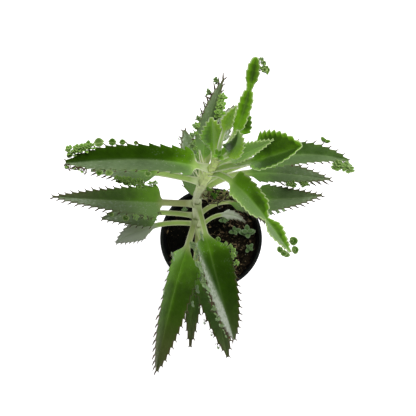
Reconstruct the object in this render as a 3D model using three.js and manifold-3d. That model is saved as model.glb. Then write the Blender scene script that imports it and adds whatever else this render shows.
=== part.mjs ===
// Potted Kalanchoe houghtonii, a succulent that carries plantlets along its toothed leaves.
// Units are millimetres, +Z is up. The origin is the centre of the pot's underside.
// The plant is one leaning stem with leaves in loose whorls, rooted in a round nursery pot.

import * as THREE from 'three';
import { mergeVertices } from 'three/addons/utils/BufferGeometryUtils.js';
import Module from 'manifold-3d';

const wasm = await Module();
wasm.setup();

// Pot
const POT_HEIGHT = 90;
const RIM_RADIUS = 53;
const RIM_HEIGHT = 9;
const RIM_STEP = 1.2;
const BASE_RADIUS = 37;
const SHOULDER_RADIUS = 50;
const WALL = 1.6;
const BEAD = 3.4;
const EDGE_ROUND = 1.5;
const DRAIN_RADIUS = 4.5;
const DRAIN_RING = 27;
const DRAIN_COUNT = 8;
const DRAIN_SIDES = 10;
const POT_SIDES = 40;

// Soil
const SOIL_TOP = 77;
const SOIL_LUMP = 1.3;
const SOIL_SIDES = 26;
const SOIL_BRIM = 3;
const SOIL_RINGS = [0.985, 0.75, 0.5, 0.25, 0.02];
const CLEARANCE = 0.3;
const FACET_ROOM = 0.4;

// Stem: a gentle S that leans to the back. Each point is x, y, height, radius.
const STEM_LINE = [
  [-5, -4, 34, 1.6],
  [-6, -3, 52, 3.2],
  [-8, -2, 76, 4.8],
  [-11.5, 1.5, 118, 4.2],
  [-13.5, 7, 165, 3.9],
  [-13, 11.5, 207, 3.5],
  [-11.5, 12.5, 238, 3.2],
  [-8.5, 14, 262, 3.2],
  [-4.5, 15, 286, 3.1],
  [-0.5, 16.5, 305, 2.9],
  [2.5, 17.5, 321, 2.4],
  [4, 18.5, 336, 1.2],
];
const STEM_SIDES = 10;
const STEM_STEPS = 34;
const NODE_SWELL = 0.7;
const NODE_SPREAD = 5;

// Leaves
const EDGE_THICK = 0.8;
const RIB_TOP = 0.4;
const RIB_UNDER = [1.3, 0.6];
const TIP_HALF = 0.5;
const LOBES = [0.35, 0.35];
const LOBE_REACH = 0.14;
const BLUNT = 1.5;
const FILL = 0.9;
const WAIST_REACH = 0.09;
const FOLD_FROM = -0.1;
const FOLD_TO = 0.15;
const LINE_STEPS = 60;
const TOOTH_FROM = 0.05;
const TOOTH_PEAK = 0.62;
const TOOTH_NOTCH = 0.25;
const TOOTH_UNEVEN = 0.15;
const TOOTH_AT_TIP = 0.4;
const PETIOLE_STEPS = [0, 0.5, 0.9];

// The petiole's grooved section as shares of its half width: sideways and up, from the groove
// round by the right.
const PETIOLE_SECTION = [[0, 0.25], [1, 0.6], [0.8, -0.35], [0, -0.75], [-0.8, -0.35], [-1, 0.6]];

// Each leaf joins the stem at height z. Its line starts towards the compass angle turn, where
// 0 is +X and 90 is the back, and climbs at rise degrees. Along its length it swings sideways
// by sweep degrees and its slope changes to fall, sooner where ease is over 1. petiole and
// blade are lengths, stalk is half the petiole's width, width is the widest part of the blade
// and belly the share of its length where that comes. fold lifts both halves, roll lowers
// the right one, lobes set the left and right base lobes back and blunt fills out the tip.
// teeth counts one margin's teeth, tooth is their height. waist narrows the blade at a share
// of its length, by a share of its width. Each run of plantlets in pups is its margin, where
// it starts and ends along the blade, how many, and their size.
const LEFT = 1;
const RIGHT = -1;
const LEAVES = [
  { name: 'leaf_01', z: 303, turn: 170, sweep: 13, rise: 28, fall: -6, ease: 2, petiole: 12, blade: 95,
    stalk: 2.6, width: 21, belly: 0.07, fold: 30, roll: 2, blunt: 5, teeth: 13, tooth: 1.6,
    pups: [[RIGHT, 0.42, 0.76, 4, 5.5], [RIGHT, 0.76, 0.95, 4, 3.5], [LEFT, 0.84, 0.98, 2, 5]] },
  { name: 'leaf_02', z: 305, turn: -8, sweep: 22, rise: 44, fall: 33, petiole: 38, blade: 39,
    stalk: 2.6, width: 34, belly: 0.3, fold: 35, roll: -16, blunt: 2.6, lobes: [0.9, 0.1],
    teeth: 10, tooth: 2.2, pups: [] },
  { name: 'leaf_03', z: 296, turn: -17, sweep: -37, rise: 50, fall: -10, petiole: 22, blade: 67,
    stalk: 2.6, width: 22, belly: 0.08, fold: 30, roll: 0, ease: 3.3, blunt: 1.25, lobes: [-0.2, 0.5],
    teeth: 12, tooth: 1.3, waist: [0.56, 0.75],
    pups: [[LEFT, 0.85, 0.98, 2, 4.5], [RIGHT, 0.88, 0.98, 2, 4]] },
  { name: 'leaf_04', z: 324, turn: 34, sweep: 44, rise: 50, fall: 28, ease: 2.5, petiole: 27, blade: 52,
    stalk: 2, width: 9, belly: 0.15, fold: 22, roll: 0, blunt: 5, teeth: 11, tooth: 1, waist: [0.6, 0.55],
    pups: [[RIGHT, 0.86, 0.99, 3, 3.5]] },
  { name: 'leaf_05', z: 314, turn: 4, sweep: 17, rise: 45, fall: 34, petiole: 16, blade: 37,
    stalk: 2, width: 15, belly: 0.2, fold: 30, roll: -6, ease: 0.8, teeth: 8, tooth: 1.1, pups: [] },
  { name: 'leaf_06', z: 312, turn: 91, sweep: 9, rise: 60, fall: 58, petiole: 14, blade: 31,
    stalk: 1.9, width: 17, belly: 0.5, fold: 6, roll: 0, blunt: 1.8, teeth: 8, tooth: 2.2, pups: [] },
  { name: 'leaf_07', z: 333, turn: 80, sweep: -30, rise: 60, fall: 40, petiole: 23, blade: 20,
    stalk: 1.6, width: 9, belly: 0.3, fold: 25, roll: 0, teeth: 6, tooth: 1.1, pups: [] },
  { name: 'leaf_08', z: 328, turn: -20, sweep: 130, rise: 50, fall: 65, petiole: 12, blade: 26,
    stalk: 1.7, width: 17, belly: 0.3, fold: 32, roll: 0, teeth: 6, tooth: 1, pups: [] },
  { name: 'leaf_09', z: 270, turn: 167, sweep: 12, rise: 15, fall: -22, petiole: 38, blade: 53,
    stalk: 2.6, width: 23, belly: 0.15, fold: 26, roll: 8, teeth: 10, tooth: 1.8,
    pups: [[LEFT, 0.1, 0.5, 3, 3.5], [RIGHT, 0.5, 0.9, 2, 4]] },
  { name: 'leaf_10', z: 272, turn: 23, sweep: -36, rise: 30, fall: -24, petiole: 44, blade: 74,
    stalk: 2.6, width: 20, belly: 0.2, fold: 28, roll: 0, blunt: 2.1, ease: 0.8, teeth: 12, tooth: 1.6,
    pups: [[RIGHT, 0.75, 0.98, 4, 5], [LEFT, 0.68, 0.72, 1, 5]] },
  { name: 'leaf_11', z: 262, turn: 89, sweep: -26, rise: 25, fall: 3, petiole: 21, blade: 66,
    stalk: 2.4, width: 20, belly: 0.2, fold: 42, roll: 0, ease: 0.8, teeth: 12, tooth: 1.5,
    pups: [[LEFT, 0.2, 0.95, 7, 4.5], [RIGHT, 0.5, 0.8, 4, 4]] },
  { name: 'leaf_12', z: 210, turn: 57, sweep: -64, rise: 74, fall: -5, ease: 2.8, petiole: 65, blade: 65,
    stalk: 2.8, width: 19, belly: 0.15, fold: 25, roll: 0, blunt: 2, teeth: 12, tooth: 1.8,
    pups: [[RIGHT, 0.5, 0.8, 3, 3.5]] },
  { name: 'leaf_13', z: 236, turn: -11, sweep: 22, rise: 13, fall: -12, petiole: 48, blade: 56,
    stalk: 2.6, width: 24, belly: 0.15, fold: 22, roll: 0, blunt: 1.2, teeth: 11, tooth: 1.6, pups: [] },
  { name: 'leaf_14', z: 236, turn: 76, sweep: -20, rise: 35, fall: 10, petiole: 48, blade: 32,
    stalk: 2.2, width: 19, belly: 0.2, fold: 25, roll: 0, teeth: 8, tooth: 1.4, pups: [] },
  { name: 'leaf_15', z: 288, turn: 29, sweep: 49, rise: 40, fall: 20, petiole: 44, blade: 17,
    stalk: 1.8, width: 12, belly: 0.2, fold: 20, roll: 0, teeth: 5, tooth: 1.5, pups: [] },
  { name: 'leaf_16', z: 206, turn: 87, sweep: 22, rise: 38, fall: 7, petiole: 5, blade: 61,
    stalk: 2.2, width: 23, belly: 0.25, fold: 18, roll: 0, ease: 1.5, blunt: 2.5, teeth: 11, tooth: 1.4,
    pups: [] },
  { name: 'leaf_17', z: 204, turn: 183, sweep: -10, rise: 25, fall: -15, petiole: 32, blade: 95,
    stalk: 2.8, width: 28, belly: 0.08, fold: 22, roll: 0, blunt: 1.25, teeth: 15, tooth: 2,
    pups: [[LEFT, 0.1, 0.9, 6, 3]] },
  { name: 'leaf_18', z: 216, turn: -77, sweep: 5, rise: 12, fall: -42, petiole: 30, blade: 100,
    stalk: 2.4, width: 33, belly: 0.12, fold: 28, roll: -14, blunt: 2.7, lobes: [0.2, -0.4],
    teeth: 15, tooth: 1.8,
    pups: [[LEFT, 0.05, 0.3, 3, 4], [RIGHT, 0.1, 0.6, 5, 5]] },
  { name: 'leaf_19', z: 168, turn: -107, sweep: 5, rise: 25, fall: -40, petiole: 32, blade: 122,
    stalk: 2.8, width: 33, belly: 0.12, fold: 34, roll: -28, blunt: 2.3, lobes: [0, -0.4],
    teeth: 16, tooth: 2,
    pups: [[RIGHT, 0.15, 0.5, 3, 4], [LEFT, 0.05, 0.4, 4, 6]] },
  { name: 'leaf_20', z: 168, turn: 174, sweep: 16, rise: 20, fall: -15, petiole: 37, blade: 52,
    stalk: 2.4, width: 26, belly: 0.15, fold: 12, roll: 0, teeth: 9, tooth: 1.4,
    pups: [[RIGHT, 0.2, 0.9, 4, 4.5]] },
  { name: 'leaf_21', z: 162, turn: 49, sweep: -108, rise: 30, fall: -40, petiole: 37, blade: 42,
    stalk: 2.2, width: 17, belly: 0.2, fold: 25, roll: 0, teeth: 7, tooth: 1.4, pups: [] },
  { name: 'leaf_22', z: 142, turn: 174, sweep: 38, rise: 20, fall: -22, petiole: 43, blade: 41,
    stalk: 2.4, width: 20, belly: 0.35, fold: 10, roll: 0, teeth: 9, tooth: 1.4, pups: [] },
  { name: 'leaf_23', z: 134, turn: -94, sweep: 0, rise: 15, fall: -35, petiole: 36, blade: 84,
    stalk: 2.4, width: 20, belly: 0.15, fold: 18, roll: 0, teeth: 9, tooth: 1.6, pups: [] },
  { name: 'leaf_24', z: 146, turn: -78, sweep: 2, rise: 10, fall: -30, petiole: 38, blade: 95,
    stalk: 2.4, width: 33, belly: 0.15, fold: 18, roll: 0, teeth: 11, tooth: 1.6, pups: [] },
  { name: 'leaf_25', z: 122, turn: 59, sweep: -100, rise: 30, fall: -20, petiole: 30, blade: 24,
    stalk: 2, width: 12, belly: 0.2, fold: 20, roll: 0, teeth: 5, tooth: 1.2, pups: [] },
];

// Plantlets: a rounded leaf on a short stalk
const PUP_THICK = 1.2;
const PUP_SINK = 2;
const PUP_REACH = 1.3;
const PUP_LIFT = 0.25;
const PUP_SWING = 0.3;
const PUP_OUTLINE = [
  [0, 0], [0.42, 0.13], [0.55, 0.45], [0.9, 0.38], [0.9, -0.38], [0.55, -0.45], [0.42, -0.13],
];
const LEAFLET_OUTLINE = [[0, 0], [0.3, 0.42], [0.75, 0.4], [1, 0], [0.75, -0.4], [0.3, -0.42]];
const LENS_CENTRE = 0.65;

// Seedlings rooted in the soil: x, y, height of the shoot, leaf length, pairs of leaves.
const SEEDLINGS = [
  { name: 'seedling_1', x: 38, y: 7, tall: 10, leaf: 11, pairs: 3 },
  { name: 'seedling_2', x: 40, y: -10, tall: 7, leaf: 8, pairs: 2 },
  { name: 'seedling_3', x: 24, y: -16, tall: 6, leaf: 6, pairs: 2 },
  { name: 'seedling_4', x: -28, y: 31, tall: 5, leaf: 6, pairs: 2 },
  { name: 'seedling_5', x: 14, y: 20, tall: 9, leaf: 8, pairs: 2 },
  { name: 'seedling_6', x: 25, y: 8, tall: 7, leaf: 9, pairs: 2 },
];
const SHOOT_RADIUS = 0.9;
const SHOOT_DEPTH = 7;
const SHOOT_SIDES = 6;
const HOLE_SIDES = 8;
const HOLE_ABOVE = 4;
const LEAFLET_THICK = 1.3;
const LEAFLET_RISE = 0.35;
const LEAFLET_WIDTH = 0.6;

// Colours
const COLOURS = {
  pot: [0x1d2023, 0.45],
  soil: [0x2b211a, 0.95],
  stem: [0x9bb07a, 0.6],
  young: [0x5f9a2c, 0.5],
  mature: [0x55803f, 0.55],
  old: [0x6d8560, 0.6],
  seedling: [0x8fb79a, 0.6],
};
const YOUNG_FROM = 290;
const MATURE_FROM = 200;

const UP = new THREE.Vector3(0, 0, 1);
const SEED = 20;
let randomState = SEED;

// A small repeatable random number from 0 to 1.
function random() {
  randomState = (randomState * 16807) % 2147483647;
  return randomState / 2147483647;
}

function jitter(amount) {
  return (random() * 2 - 1) * amount;
}

function radians(degrees) {
  return THREE.MathUtils.degToRad(degrees);
}

function mix(a, b, share) {
  return a + (b - a) * share;
}

// A closed skin over rings that all have the same number of points. crossed names the columns
// whose squares are split along the other diagonal.
function loft(rings, crossed = []) {
  const count = rings[0].length;
  const positions = rings.flat().flatMap((p) => [p.x, p.y, p.z]);
  const faces = [];
  for (let i = 0; i + 1 < rings.length; i += 1) {
    for (let j = 0; j < count; j += 1) {
      const a = i * count + j;
      const b = i * count + (j + 1) % count;
      const c = a + count;
      const d = b + count;
      if (crossed.includes(j)) faces.push(a, b, c, b, d, c);
      else faces.push(a, b, d, a, d, c);
    }
  }
  const last = (rings.length - 1) * count;
  for (let j = 1; j + 1 < count; j += 1) {
    faces.push(0, j + 1, j);
    faces.push(last, last + j, last + j + 1);
  }
  const geometry = new THREE.BufferGeometry();
  geometry.setAttribute('position', new THREE.Float32BufferAttribute(positions, 3));
  geometry.setIndex(faces);
  return geometry;
}

// A three.js geometry as a solid for joining and cutting, turned to face out if need be.
function solidOf(geometry) {
  const bare = new THREE.BufferGeometry();
  bare.setAttribute('position', geometry.getAttribute('position'));
  if (geometry.index) bare.setIndex(geometry.index);
  const merged = mergeVertices(bare, 1e-4);
  const vertProperties = new Float32Array(merged.attributes.position.array);
  const triVerts = new Uint32Array(merged.index.array);
  const made = new wasm.Manifold(new wasm.Mesh({ numProp: 3, vertProperties, triVerts }));
  if (made.volume() > 0) return made;
  for (let i = 0; i < triVerts.length; i += 3) {
    [triVerts[i + 1], triVerts[i + 2]] = [triVerts[i + 2], triVerts[i + 1]];
  }
  return new wasm.Manifold(new wasm.Mesh({ numProp: 3, vertProperties, triVerts }));
}

// The largest body of a solid, so a cut leaves no loose scrap.
function largest(solid) {
  const bodies = solid.decompose();
  return bodies.reduce((best, body) => (body.volume() > best.volume() ? body : best));
}

function geometryOf(solid) {
  const mesh = solid.getMesh();
  const geometry = new THREE.BufferGeometry();
  geometry.setAttribute('position', new THREE.Float32BufferAttribute(mesh.vertProperties, 3));
  geometry.setIndex(Array.from(mesh.triVerts));
  return geometry;
}

// The pot: one turned shell with a rolled rim, and drain holes through its floor.
function makePot() {
  const rimFoot = POT_HEIGHT - RIM_HEIGHT;
  const profile = [
    [0, 0],
    [BASE_RADIUS - EDGE_ROUND, 0],
    [BASE_RADIUS, EDGE_ROUND],
    [SHOULDER_RADIUS, rimFoot],
    [RIM_RADIUS - RIM_STEP, rimFoot],
    [RIM_RADIUS, POT_HEIGHT - EDGE_ROUND],
    [RIM_RADIUS - EDGE_ROUND / 2, POT_HEIGHT],
    [RIM_RADIUS - BEAD + EDGE_ROUND / 2, POT_HEIGHT],
    [RIM_RADIUS - BEAD, POT_HEIGHT - EDGE_ROUND],
    [SHOULDER_RADIUS - WALL, rimFoot],
    [BASE_RADIUS - WALL, WALL],
    [0, WALL],
  ].map(([x, y]) => new THREE.Vector2(x, y));
  const turned = new THREE.LatheGeometry(profile, POT_SIDES).rotateX(Math.PI / 2);
  let pot = solidOf(turned);
  for (let i = 0; i < DRAIN_COUNT; i += 1) {
    const angle = (i + 0.5) * 2 * Math.PI / DRAIN_COUNT;
    const hole = new THREE.CylinderGeometry(DRAIN_RADIUS, DRAIN_RADIUS, 4 * WALL, DRAIN_SIDES);
    hole.rotateX(Math.PI / 2);
    hole.translate(DRAIN_RING * Math.cos(angle), DRAIN_RING * Math.sin(angle), 0);
    pot = pot.subtract(solidOf(hole));
  }
  return pot;
}

// Radius of the pot's inner wall at height z.
function innerRadius(z) {
  const rimFoot = POT_HEIGHT - RIM_HEIGHT;
  return mix(BASE_RADIUS, SHOULDER_RADIUS, (z - WALL) / (rimFoot - WALL)) - WALL;
}

function soilHeight(x, y) {
  const lump = Math.sin(x * 0.21 + 1) * Math.cos(y * 0.17) + Math.sin(x * 0.09 - y * 0.26 + 2);
  return SOIL_TOP + SOIL_LUMP * lump / 2;
}

// The soil: a plug that fills the pot up to a lumpy top, with a plain hole for each shoot.
function makeSoil(holes) {
  const floor = WALL + CLEARANCE;
  const brimHeight = SOIL_TOP - SOIL_BRIM;
  const bottom = innerRadius(floor) - CLEARANCE - FACET_ROOM;
  const brim = innerRadius(brimHeight) - CLEARANCE - FACET_ROOM;
  const ring = (radius, height) => Array.from({ length: SOIL_SIDES }, (_, i) => {
    const angle = i * 2 * Math.PI / SOIL_SIDES;
    const x = radius * Math.cos(angle);
    const y = radius * Math.sin(angle);
    return new THREE.Vector3(x, y, height === undefined ? soilHeight(x, y) : height);
  });
  const middle = SOIL_RINGS[SOIL_RINGS.length - 1];
  const rings = [ring(bottom * middle, floor), ring(bottom, floor), ring(brim, brimHeight)];
  for (const share of SOIL_RINGS) {
    rings.push(ring(brim * share));
  }
  let soil = solidOf(loft(rings));
  for (const hole of holes) {
    soil = soil.subtract(hole);
  }
  return soil;
}

// Where height z falls on the stem's line: the point below it and the share to the next one.
function stemSpan(z) {
  let i = 0;
  while (i < STEM_LINE.length - 2 && STEM_LINE[i + 1][2] < z) i += 1;
  const share = (z - STEM_LINE[i][2]) / (STEM_LINE[i + 1][2] - STEM_LINE[i][2]);
  return [i, THREE.MathUtils.clamp(share, 0, 1)];
}

// How far the stem's line moves in x or y for each millimetre it climbs, at one of its points.
function stemLean(i, axis) {
  const before = STEM_LINE[Math.max(i - 1, 0)];
  const after = STEM_LINE[Math.min(i + 1, STEM_LINE.length - 1)];
  return (after[axis] - before[axis]) / (after[2] - before[2]);
}

// The middle of the stem at height z, on a cubic between the points below and above it.
function stemPoint(z) {
  const [i, u] = stemSpan(z);
  const [below, above] = [STEM_LINE[i], STEM_LINE[i + 1]];
  const rise = above[2] - below[2];
  const [x, y] = [0, 1].map((axis) => (
    below[axis] * (2 * u ** 3 - 3 * u ** 2 + 1)
    + above[axis] * (3 * u ** 2 - 2 * u ** 3)
    + stemLean(i, axis) * rise * (u ** 3 - 2 * u ** 2 + u)
    + stemLean(i + 1, axis) * rise * (u ** 3 - u ** 2)
  ));
  return new THREE.Vector3(x, y, z);
}

function stemRadius(z) {
  const [i, share] = stemSpan(z);
  const plain = mix(STEM_LINE[i][3], STEM_LINE[i + 1][3], share);
  const swell = LEAVES.map((leaf) => Math.exp(-(((z - leaf.z) / NODE_SPREAD) ** 2)));
  return plain + NODE_SWELL * Math.min(1, Math.max(...swell)) * plain / 4;
}

// The stem as level rings, thicker by grow all round.
function makeStem(grow = 0) {
  const bottom = STEM_LINE[0][2];
  const top = STEM_LINE[STEM_LINE.length - 1][2];
  const rings = [];
  for (let i = 0; i <= STEM_STEPS; i += 1) {
    const z = mix(bottom, top, i / STEM_STEPS);
    const middle = stemPoint(z);
    const radius = stemRadius(z) + grow;
    rings.push(Array.from({ length: STEM_SIDES }, (_, j) => {
      const angle = j * 2 * Math.PI / STEM_SIDES;
      const lift = i === 0 ? -grow : i === STEM_STEPS ? grow : 0;
      return new THREE.Vector3(
        middle.x + radius * Math.cos(angle),
        middle.y + radius * Math.sin(angle),
        z + lift,
      );
    }));
  }
  return solidOf(loft(rings));
}

// The rib of a leaf, stepped along its length: place, direction, right-hand side and up.
function leafLine(leaf) {
  const length = leaf.petiole + leaf.blade;
  const step = length / LINE_STEPS;
  const place = stemPoint(leaf.z);
  const line = [];
  for (let i = 0; i <= LINE_STEPS; i += 1) {
    const share = i / LINE_STEPS;
    const turned = 1 - (1 - share) ** (leaf.ease ?? 1);
    const slope = radians(mix(leaf.rise, leaf.fall, turned));
    const compass = radians(leaf.turn + leaf.sweep * turned);
    const along = new THREE.Vector3(
      Math.cos(compass) * Math.cos(slope),
      Math.sin(compass) * Math.cos(slope),
      Math.sin(slope),
    );
    const right = new THREE.Vector3(Math.sin(compass), -Math.cos(compass), 0);
    const twist = radians(leaf.roll) * Math.min(1, share * length / leaf.petiole);
    right.applyAxisAngle(along, twist);
    const up = new THREE.Vector3().crossVectors(right, along);
    line.push({ place: place.clone(), along, right, up });
    place.addScaledVector(along, step);
  }
  return (distance) => {
    const at = THREE.MathUtils.clamp(distance / step, 0, LINE_STEPS - 1e-6);
    const i = Math.floor(at);
    const blend = (key) => line[i][key].clone().lerp(line[i + 1][key], at - i);
    return { place: blend('place'), along: blend('along'), right: blend('right'), up: blend('up') };
  };
}

// The point to the side of a leaf's rib and above it.
function beside(frame, side, height) {
  return frame.place.clone().addScaledVector(frame.right, side).addScaledVector(frame.up, height);
}

// Half the blade's width at share t of its length, without its teeth.
function bladeHalf(leaf, t) {
  const grown = THREE.MathUtils.smoothstep(t, -0.01, leaf.belly);
  const past = Math.max(0, (t - leaf.belly) / (1 - leaf.belly));
  let half = leaf.width / 2 * (1 - past ** (leaf.blunt ?? BLUNT)) ** FILL;
  if (leaf.waist) {
    const [middle, share] = leaf.waist;
    half *= 1 - share * Math.exp(-(((t - middle) / WAIST_REACH) ** 2));
  }
  return Math.max(TIP_HALF, mix(leaf.stalk, half, grown));
}

// The six corners of the blade's section at share t, with its margins moved out by tooth.
function bladeRing(leaf, lineAt, t, tooth) {
  const half = Math.max(TIP_HALF, bladeHalf(leaf, t) + tooth);
  const distance = leaf.petiole + t * leaf.blade;
  const rib = lineAt(distance);
  const [left, right] = (leaf.lobes ?? LOBES).map((lobe) => (
    lineAt(distance - lobe * half * Math.exp(-((t / LOBE_REACH) ** 2)))
  ));
  const lift = radians(leaf.fold) * THREE.MathUtils.smoothstep(t, FOLD_FROM, FOLD_TO);
  const out = half * Math.cos(lift);
  const up = half * Math.sin(lift);
  const thin = EDGE_THICK / 2;
  return [
    beside(rib, 0, RIB_TOP),
    beside(right, out, up + thin),
    beside(right, out, up - thin),
    beside(rib, 0, -mix(...RIB_UNDER, t)),
    beside(left, -out, up - thin),
    beside(left, -out, up + thin),
  ];
}

// The six corners of the petiole's section at a distance from the stem's middle.
function petioleRing(leaf, lineAt, distance) {
  const frame = lineAt(distance);
  return PETIOLE_SECTION.map(([side, up]) => beside(frame, side * leaf.stalk, up * leaf.stalk));
}

// A flat lens over an outline of [forward, sideways] shares, from base towards along.
function lens(base, along, up, length, width, thick, outline) {
  const across = new THREE.Vector3().crossVectors(along, up).normalize();
  const normal = new THREE.Vector3().crossVectors(across, along).normalize();
  const at = (forward, side, height) => base.clone()
    .addScaledVector(along, forward * length)
    .addScaledVector(across, side * width)
    .addScaledVector(normal, height);
  const count = outline.length;
  const points = outline.map(([forward, side]) => at(forward, side, 0));
  points.push(at(LENS_CENTRE, 0, thick / 2), at(LENS_CENTRE, 0, -thick / 2));
  const faces = [];
  for (let i = 0; i < count; i += 1) {
    faces.push(i, (i + 1) % count, count);
    faces.push((i + 1) % count, i, count + 1);
  }
  const geometry = new THREE.BufferGeometry();
  const numbers = points.flatMap((p) => [p.x, p.y, p.z]);
  geometry.setAttribute('position', new THREE.Float32BufferAttribute(numbers, 3));
  geometry.setIndex(faces);
  return solidOf(geometry);
}

// The plantlets of one leaf, each rooted in a margin and held a little way off it.
function makePups(leaf, lineAt) {
  const made = [];
  for (const [side, from, to, count, size] of leaf.pups) {
    for (let i = 0; i < count; i += 1) {
      const t = mix(from, to, (i + 0.5) / count) + jitter(0.01);
      const ring = bladeRing(leaf, lineAt, t, 0);
      const edge = ring[side === RIGHT ? 1 : 5].clone().lerp(ring[side === RIGHT ? 2 : 4], 0.5);
      const frame = lineAt(leaf.petiole + t * leaf.blade);
      const out = edge.clone().sub(ring[0].clone().lerp(ring[3], 0.3)).normalize();
      const root = edge.clone().addScaledVector(out, -PUP_SINK);
      const along = out.clone()
        .addScaledVector(frame.along, jitter(PUP_SWING))
        .addScaledVector(frame.up, PUP_LIFT + jitter(PUP_SWING / 2))
        .normalize();
      const length = size * PUP_REACH + PUP_SINK;
      made.push(lens(root, along, frame.up, length, size, PUP_THICK, PUP_OUTLINE));
    }
  }
  return made;
}

// One leaf: a lofted petiole and toothed blade, its plantlets, cut back from the stem's skin.
function makeLeaf(leaf, stemSpace) {
  const lineAt = leafLine(leaf);
  const rings = PETIOLE_STEPS.map((share) => petioleRing(leaf, lineAt, share * leaf.petiole));
  rings.push(bladeRing(leaf, lineAt, 0, 0));
  for (let i = 0; i < leaf.teeth; i += 1) {
    const notch = mix(TOOTH_FROM, 1, i / leaf.teeth);
    const peak = mix(TOOTH_FROM, 1, (i + TOOTH_PEAK) / leaf.teeth);
    const height = (1 - TOOTH_NOTCH + jitter(TOOTH_UNEVEN)) * mix(1, TOOTH_AT_TIP, peak);
    rings.push(bladeRing(leaf, lineAt, notch, -TOOTH_NOTCH * leaf.tooth));
    rings.push(bladeRing(leaf, lineAt, peak, height * leaf.tooth));
  }
  rings.push(bladeRing(leaf, lineAt, 1, 0));
  let solid = solidOf(loft(rings, [2, 5]));
  for (const pup of makePups(leaf, lineAt)) {
    solid = solid.add(pup);
  }
  return largest(solid.subtract(stemSpace));
}

// A seedling: an upright shoot with crossed pairs of small leaves.
function makeSeedling(spec) {
  const ground = soilHeight(spec.x, spec.y);
  const tall = spec.tall + SHOOT_DEPTH;
  const shoot = new THREE.CylinderGeometry(SHOOT_RADIUS * 0.7, SHOOT_RADIUS, tall, SHOOT_SIDES);
  shoot.rotateX(Math.PI / 2);
  shoot.translate(spec.x, spec.y, ground - SHOOT_DEPTH + tall / 2);
  let solid = solidOf(shoot);
  const start = random() * Math.PI;
  for (let pair = 0; pair < spec.pairs; pair += 1) {
    const share = (pair + 1) / spec.pairs;
    const height = ground + spec.tall * share - LEAFLET_THICK / 2;
    const length = spec.leaf * mix(1, 0.6, share);
    for (const turn of [0, Math.PI]) {
      const angle = start + pair * Math.PI / 2 + turn;
      const along = new THREE.Vector3(Math.cos(angle), Math.sin(angle), LEAFLET_RISE).normalize();
      const base = new THREE.Vector3(spec.x, spec.y, height);
      const width = length * LEAFLET_WIDTH;
      solid = solid.add(lens(base, along, UP, length, width, LEAFLET_THICK, LEAFLET_OUTLINE));
    }
  }
  return largest(solid);
}

function shootHole(spec) {
  const radius = SHOOT_RADIUS + CLEARANCE;
  const depth = SHOOT_DEPTH + CLEARANCE + HOLE_ABOVE;
  const hole = new THREE.CylinderGeometry(radius, radius, depth, HOLE_SIDES);
  hole.rotateX(Math.PI / 2);
  hole.translate(spec.x, spec.y, soilHeight(spec.x, spec.y) - SHOOT_DEPTH - CLEARANCE + depth / 2);
  return solidOf(hole);
}

function leafColour(leaf) {
  if (leaf.z >= YOUNG_FROM) return COLOURS.young;
  return leaf.z >= MATURE_FROM ? COLOURS.mature : COLOURS.old;
}

const plant = new THREE.Group();

function addPiece(name, solid, [color, roughness]) {
  const material = new THREE.MeshStandardMaterial({ color, roughness, metalness: 0 });
  const mesh = new THREE.Mesh(geometryOf(solid), material);
  mesh.name = name;
  plant.add(mesh);
}

const stem = makeStem();
const stemSpace = makeStem(CLEARANCE);
addPiece('pot', makePot(), COLOURS.pot);
addPiece('soil', makeSoil([stemSpace, ...SEEDLINGS.map(shootHole)]), COLOURS.soil);
addPiece('stem', stem, COLOURS.stem);
for (const leaf of LEAVES) {
  addPiece(leaf.name, makeLeaf(leaf, stemSpace), leafColour(leaf));
}
for (const spec of SEEDLINGS) {
  addPiece(spec.name, makeSeedling(spec), COLOURS.seedling);
}

export default plant;
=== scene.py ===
"""Potted Kalanchoe houghtonii: the plant, its soil and its pot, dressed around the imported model.

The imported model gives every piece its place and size. This script grows the fine surfaces over
it: toothed leaves with spurs and plantlets, a ribbed stem, crumbly soil, a moulded pot, and a
plain white stage. Lengths in the tables and functions are millimetres until a mesh is made.
"""

import math
import random

import bmesh
import bpy
import numpy as np
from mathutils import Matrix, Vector, noise


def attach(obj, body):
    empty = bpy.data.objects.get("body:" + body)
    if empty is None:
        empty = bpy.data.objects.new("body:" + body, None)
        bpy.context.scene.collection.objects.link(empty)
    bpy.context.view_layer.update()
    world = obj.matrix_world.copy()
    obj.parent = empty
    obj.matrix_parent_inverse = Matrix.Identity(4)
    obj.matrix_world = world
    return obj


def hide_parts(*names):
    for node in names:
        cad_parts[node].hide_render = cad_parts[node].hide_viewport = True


bl_info = {
    "name": "Potted Kalanchoe",
    "version": (1, 0, 0),
    "blender": (4, 5, 0),
    "location": "View3D > Sidebar > Kalanchoe",
    "description": "Grows a potted kalanchoe with toothed leaves and plantlets over its packed model",
    "category": "Add Mesh",
}

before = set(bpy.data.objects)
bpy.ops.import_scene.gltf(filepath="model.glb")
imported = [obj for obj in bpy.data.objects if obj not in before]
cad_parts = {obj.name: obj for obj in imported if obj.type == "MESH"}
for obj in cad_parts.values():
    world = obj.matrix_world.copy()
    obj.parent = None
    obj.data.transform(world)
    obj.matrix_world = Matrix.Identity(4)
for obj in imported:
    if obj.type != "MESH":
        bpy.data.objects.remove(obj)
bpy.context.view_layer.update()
MM = 0.001
ROOT = "root"

# The pot and the soil, as packed
POT_HEIGHT = 90
RIM_RADIUS = 53
RIM_HEIGHT = 9
RIM_STEP = 1.2
BASE_RADIUS = 37
SHOULDER_RADIUS = 50
WALL = 1.6
BEAD = 3.4
DRAIN_RADIUS = 4.5
DRAIN_RING = 27
DRAIN_COUNT = 8
SOIL_TOP = 77
SOIL_LUMP = 1.3
CLEARANCE = 0.3
BRIM_DEPTH = 3
RIM_FOOT = POT_HEIGHT - RIM_HEIGHT

# How finely scene.py draws the soil, and its gap to the pot's wall
SOIL_SIDES = 200
SOIL_RINGS = 62
SOIL_GAP = 0.5

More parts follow.
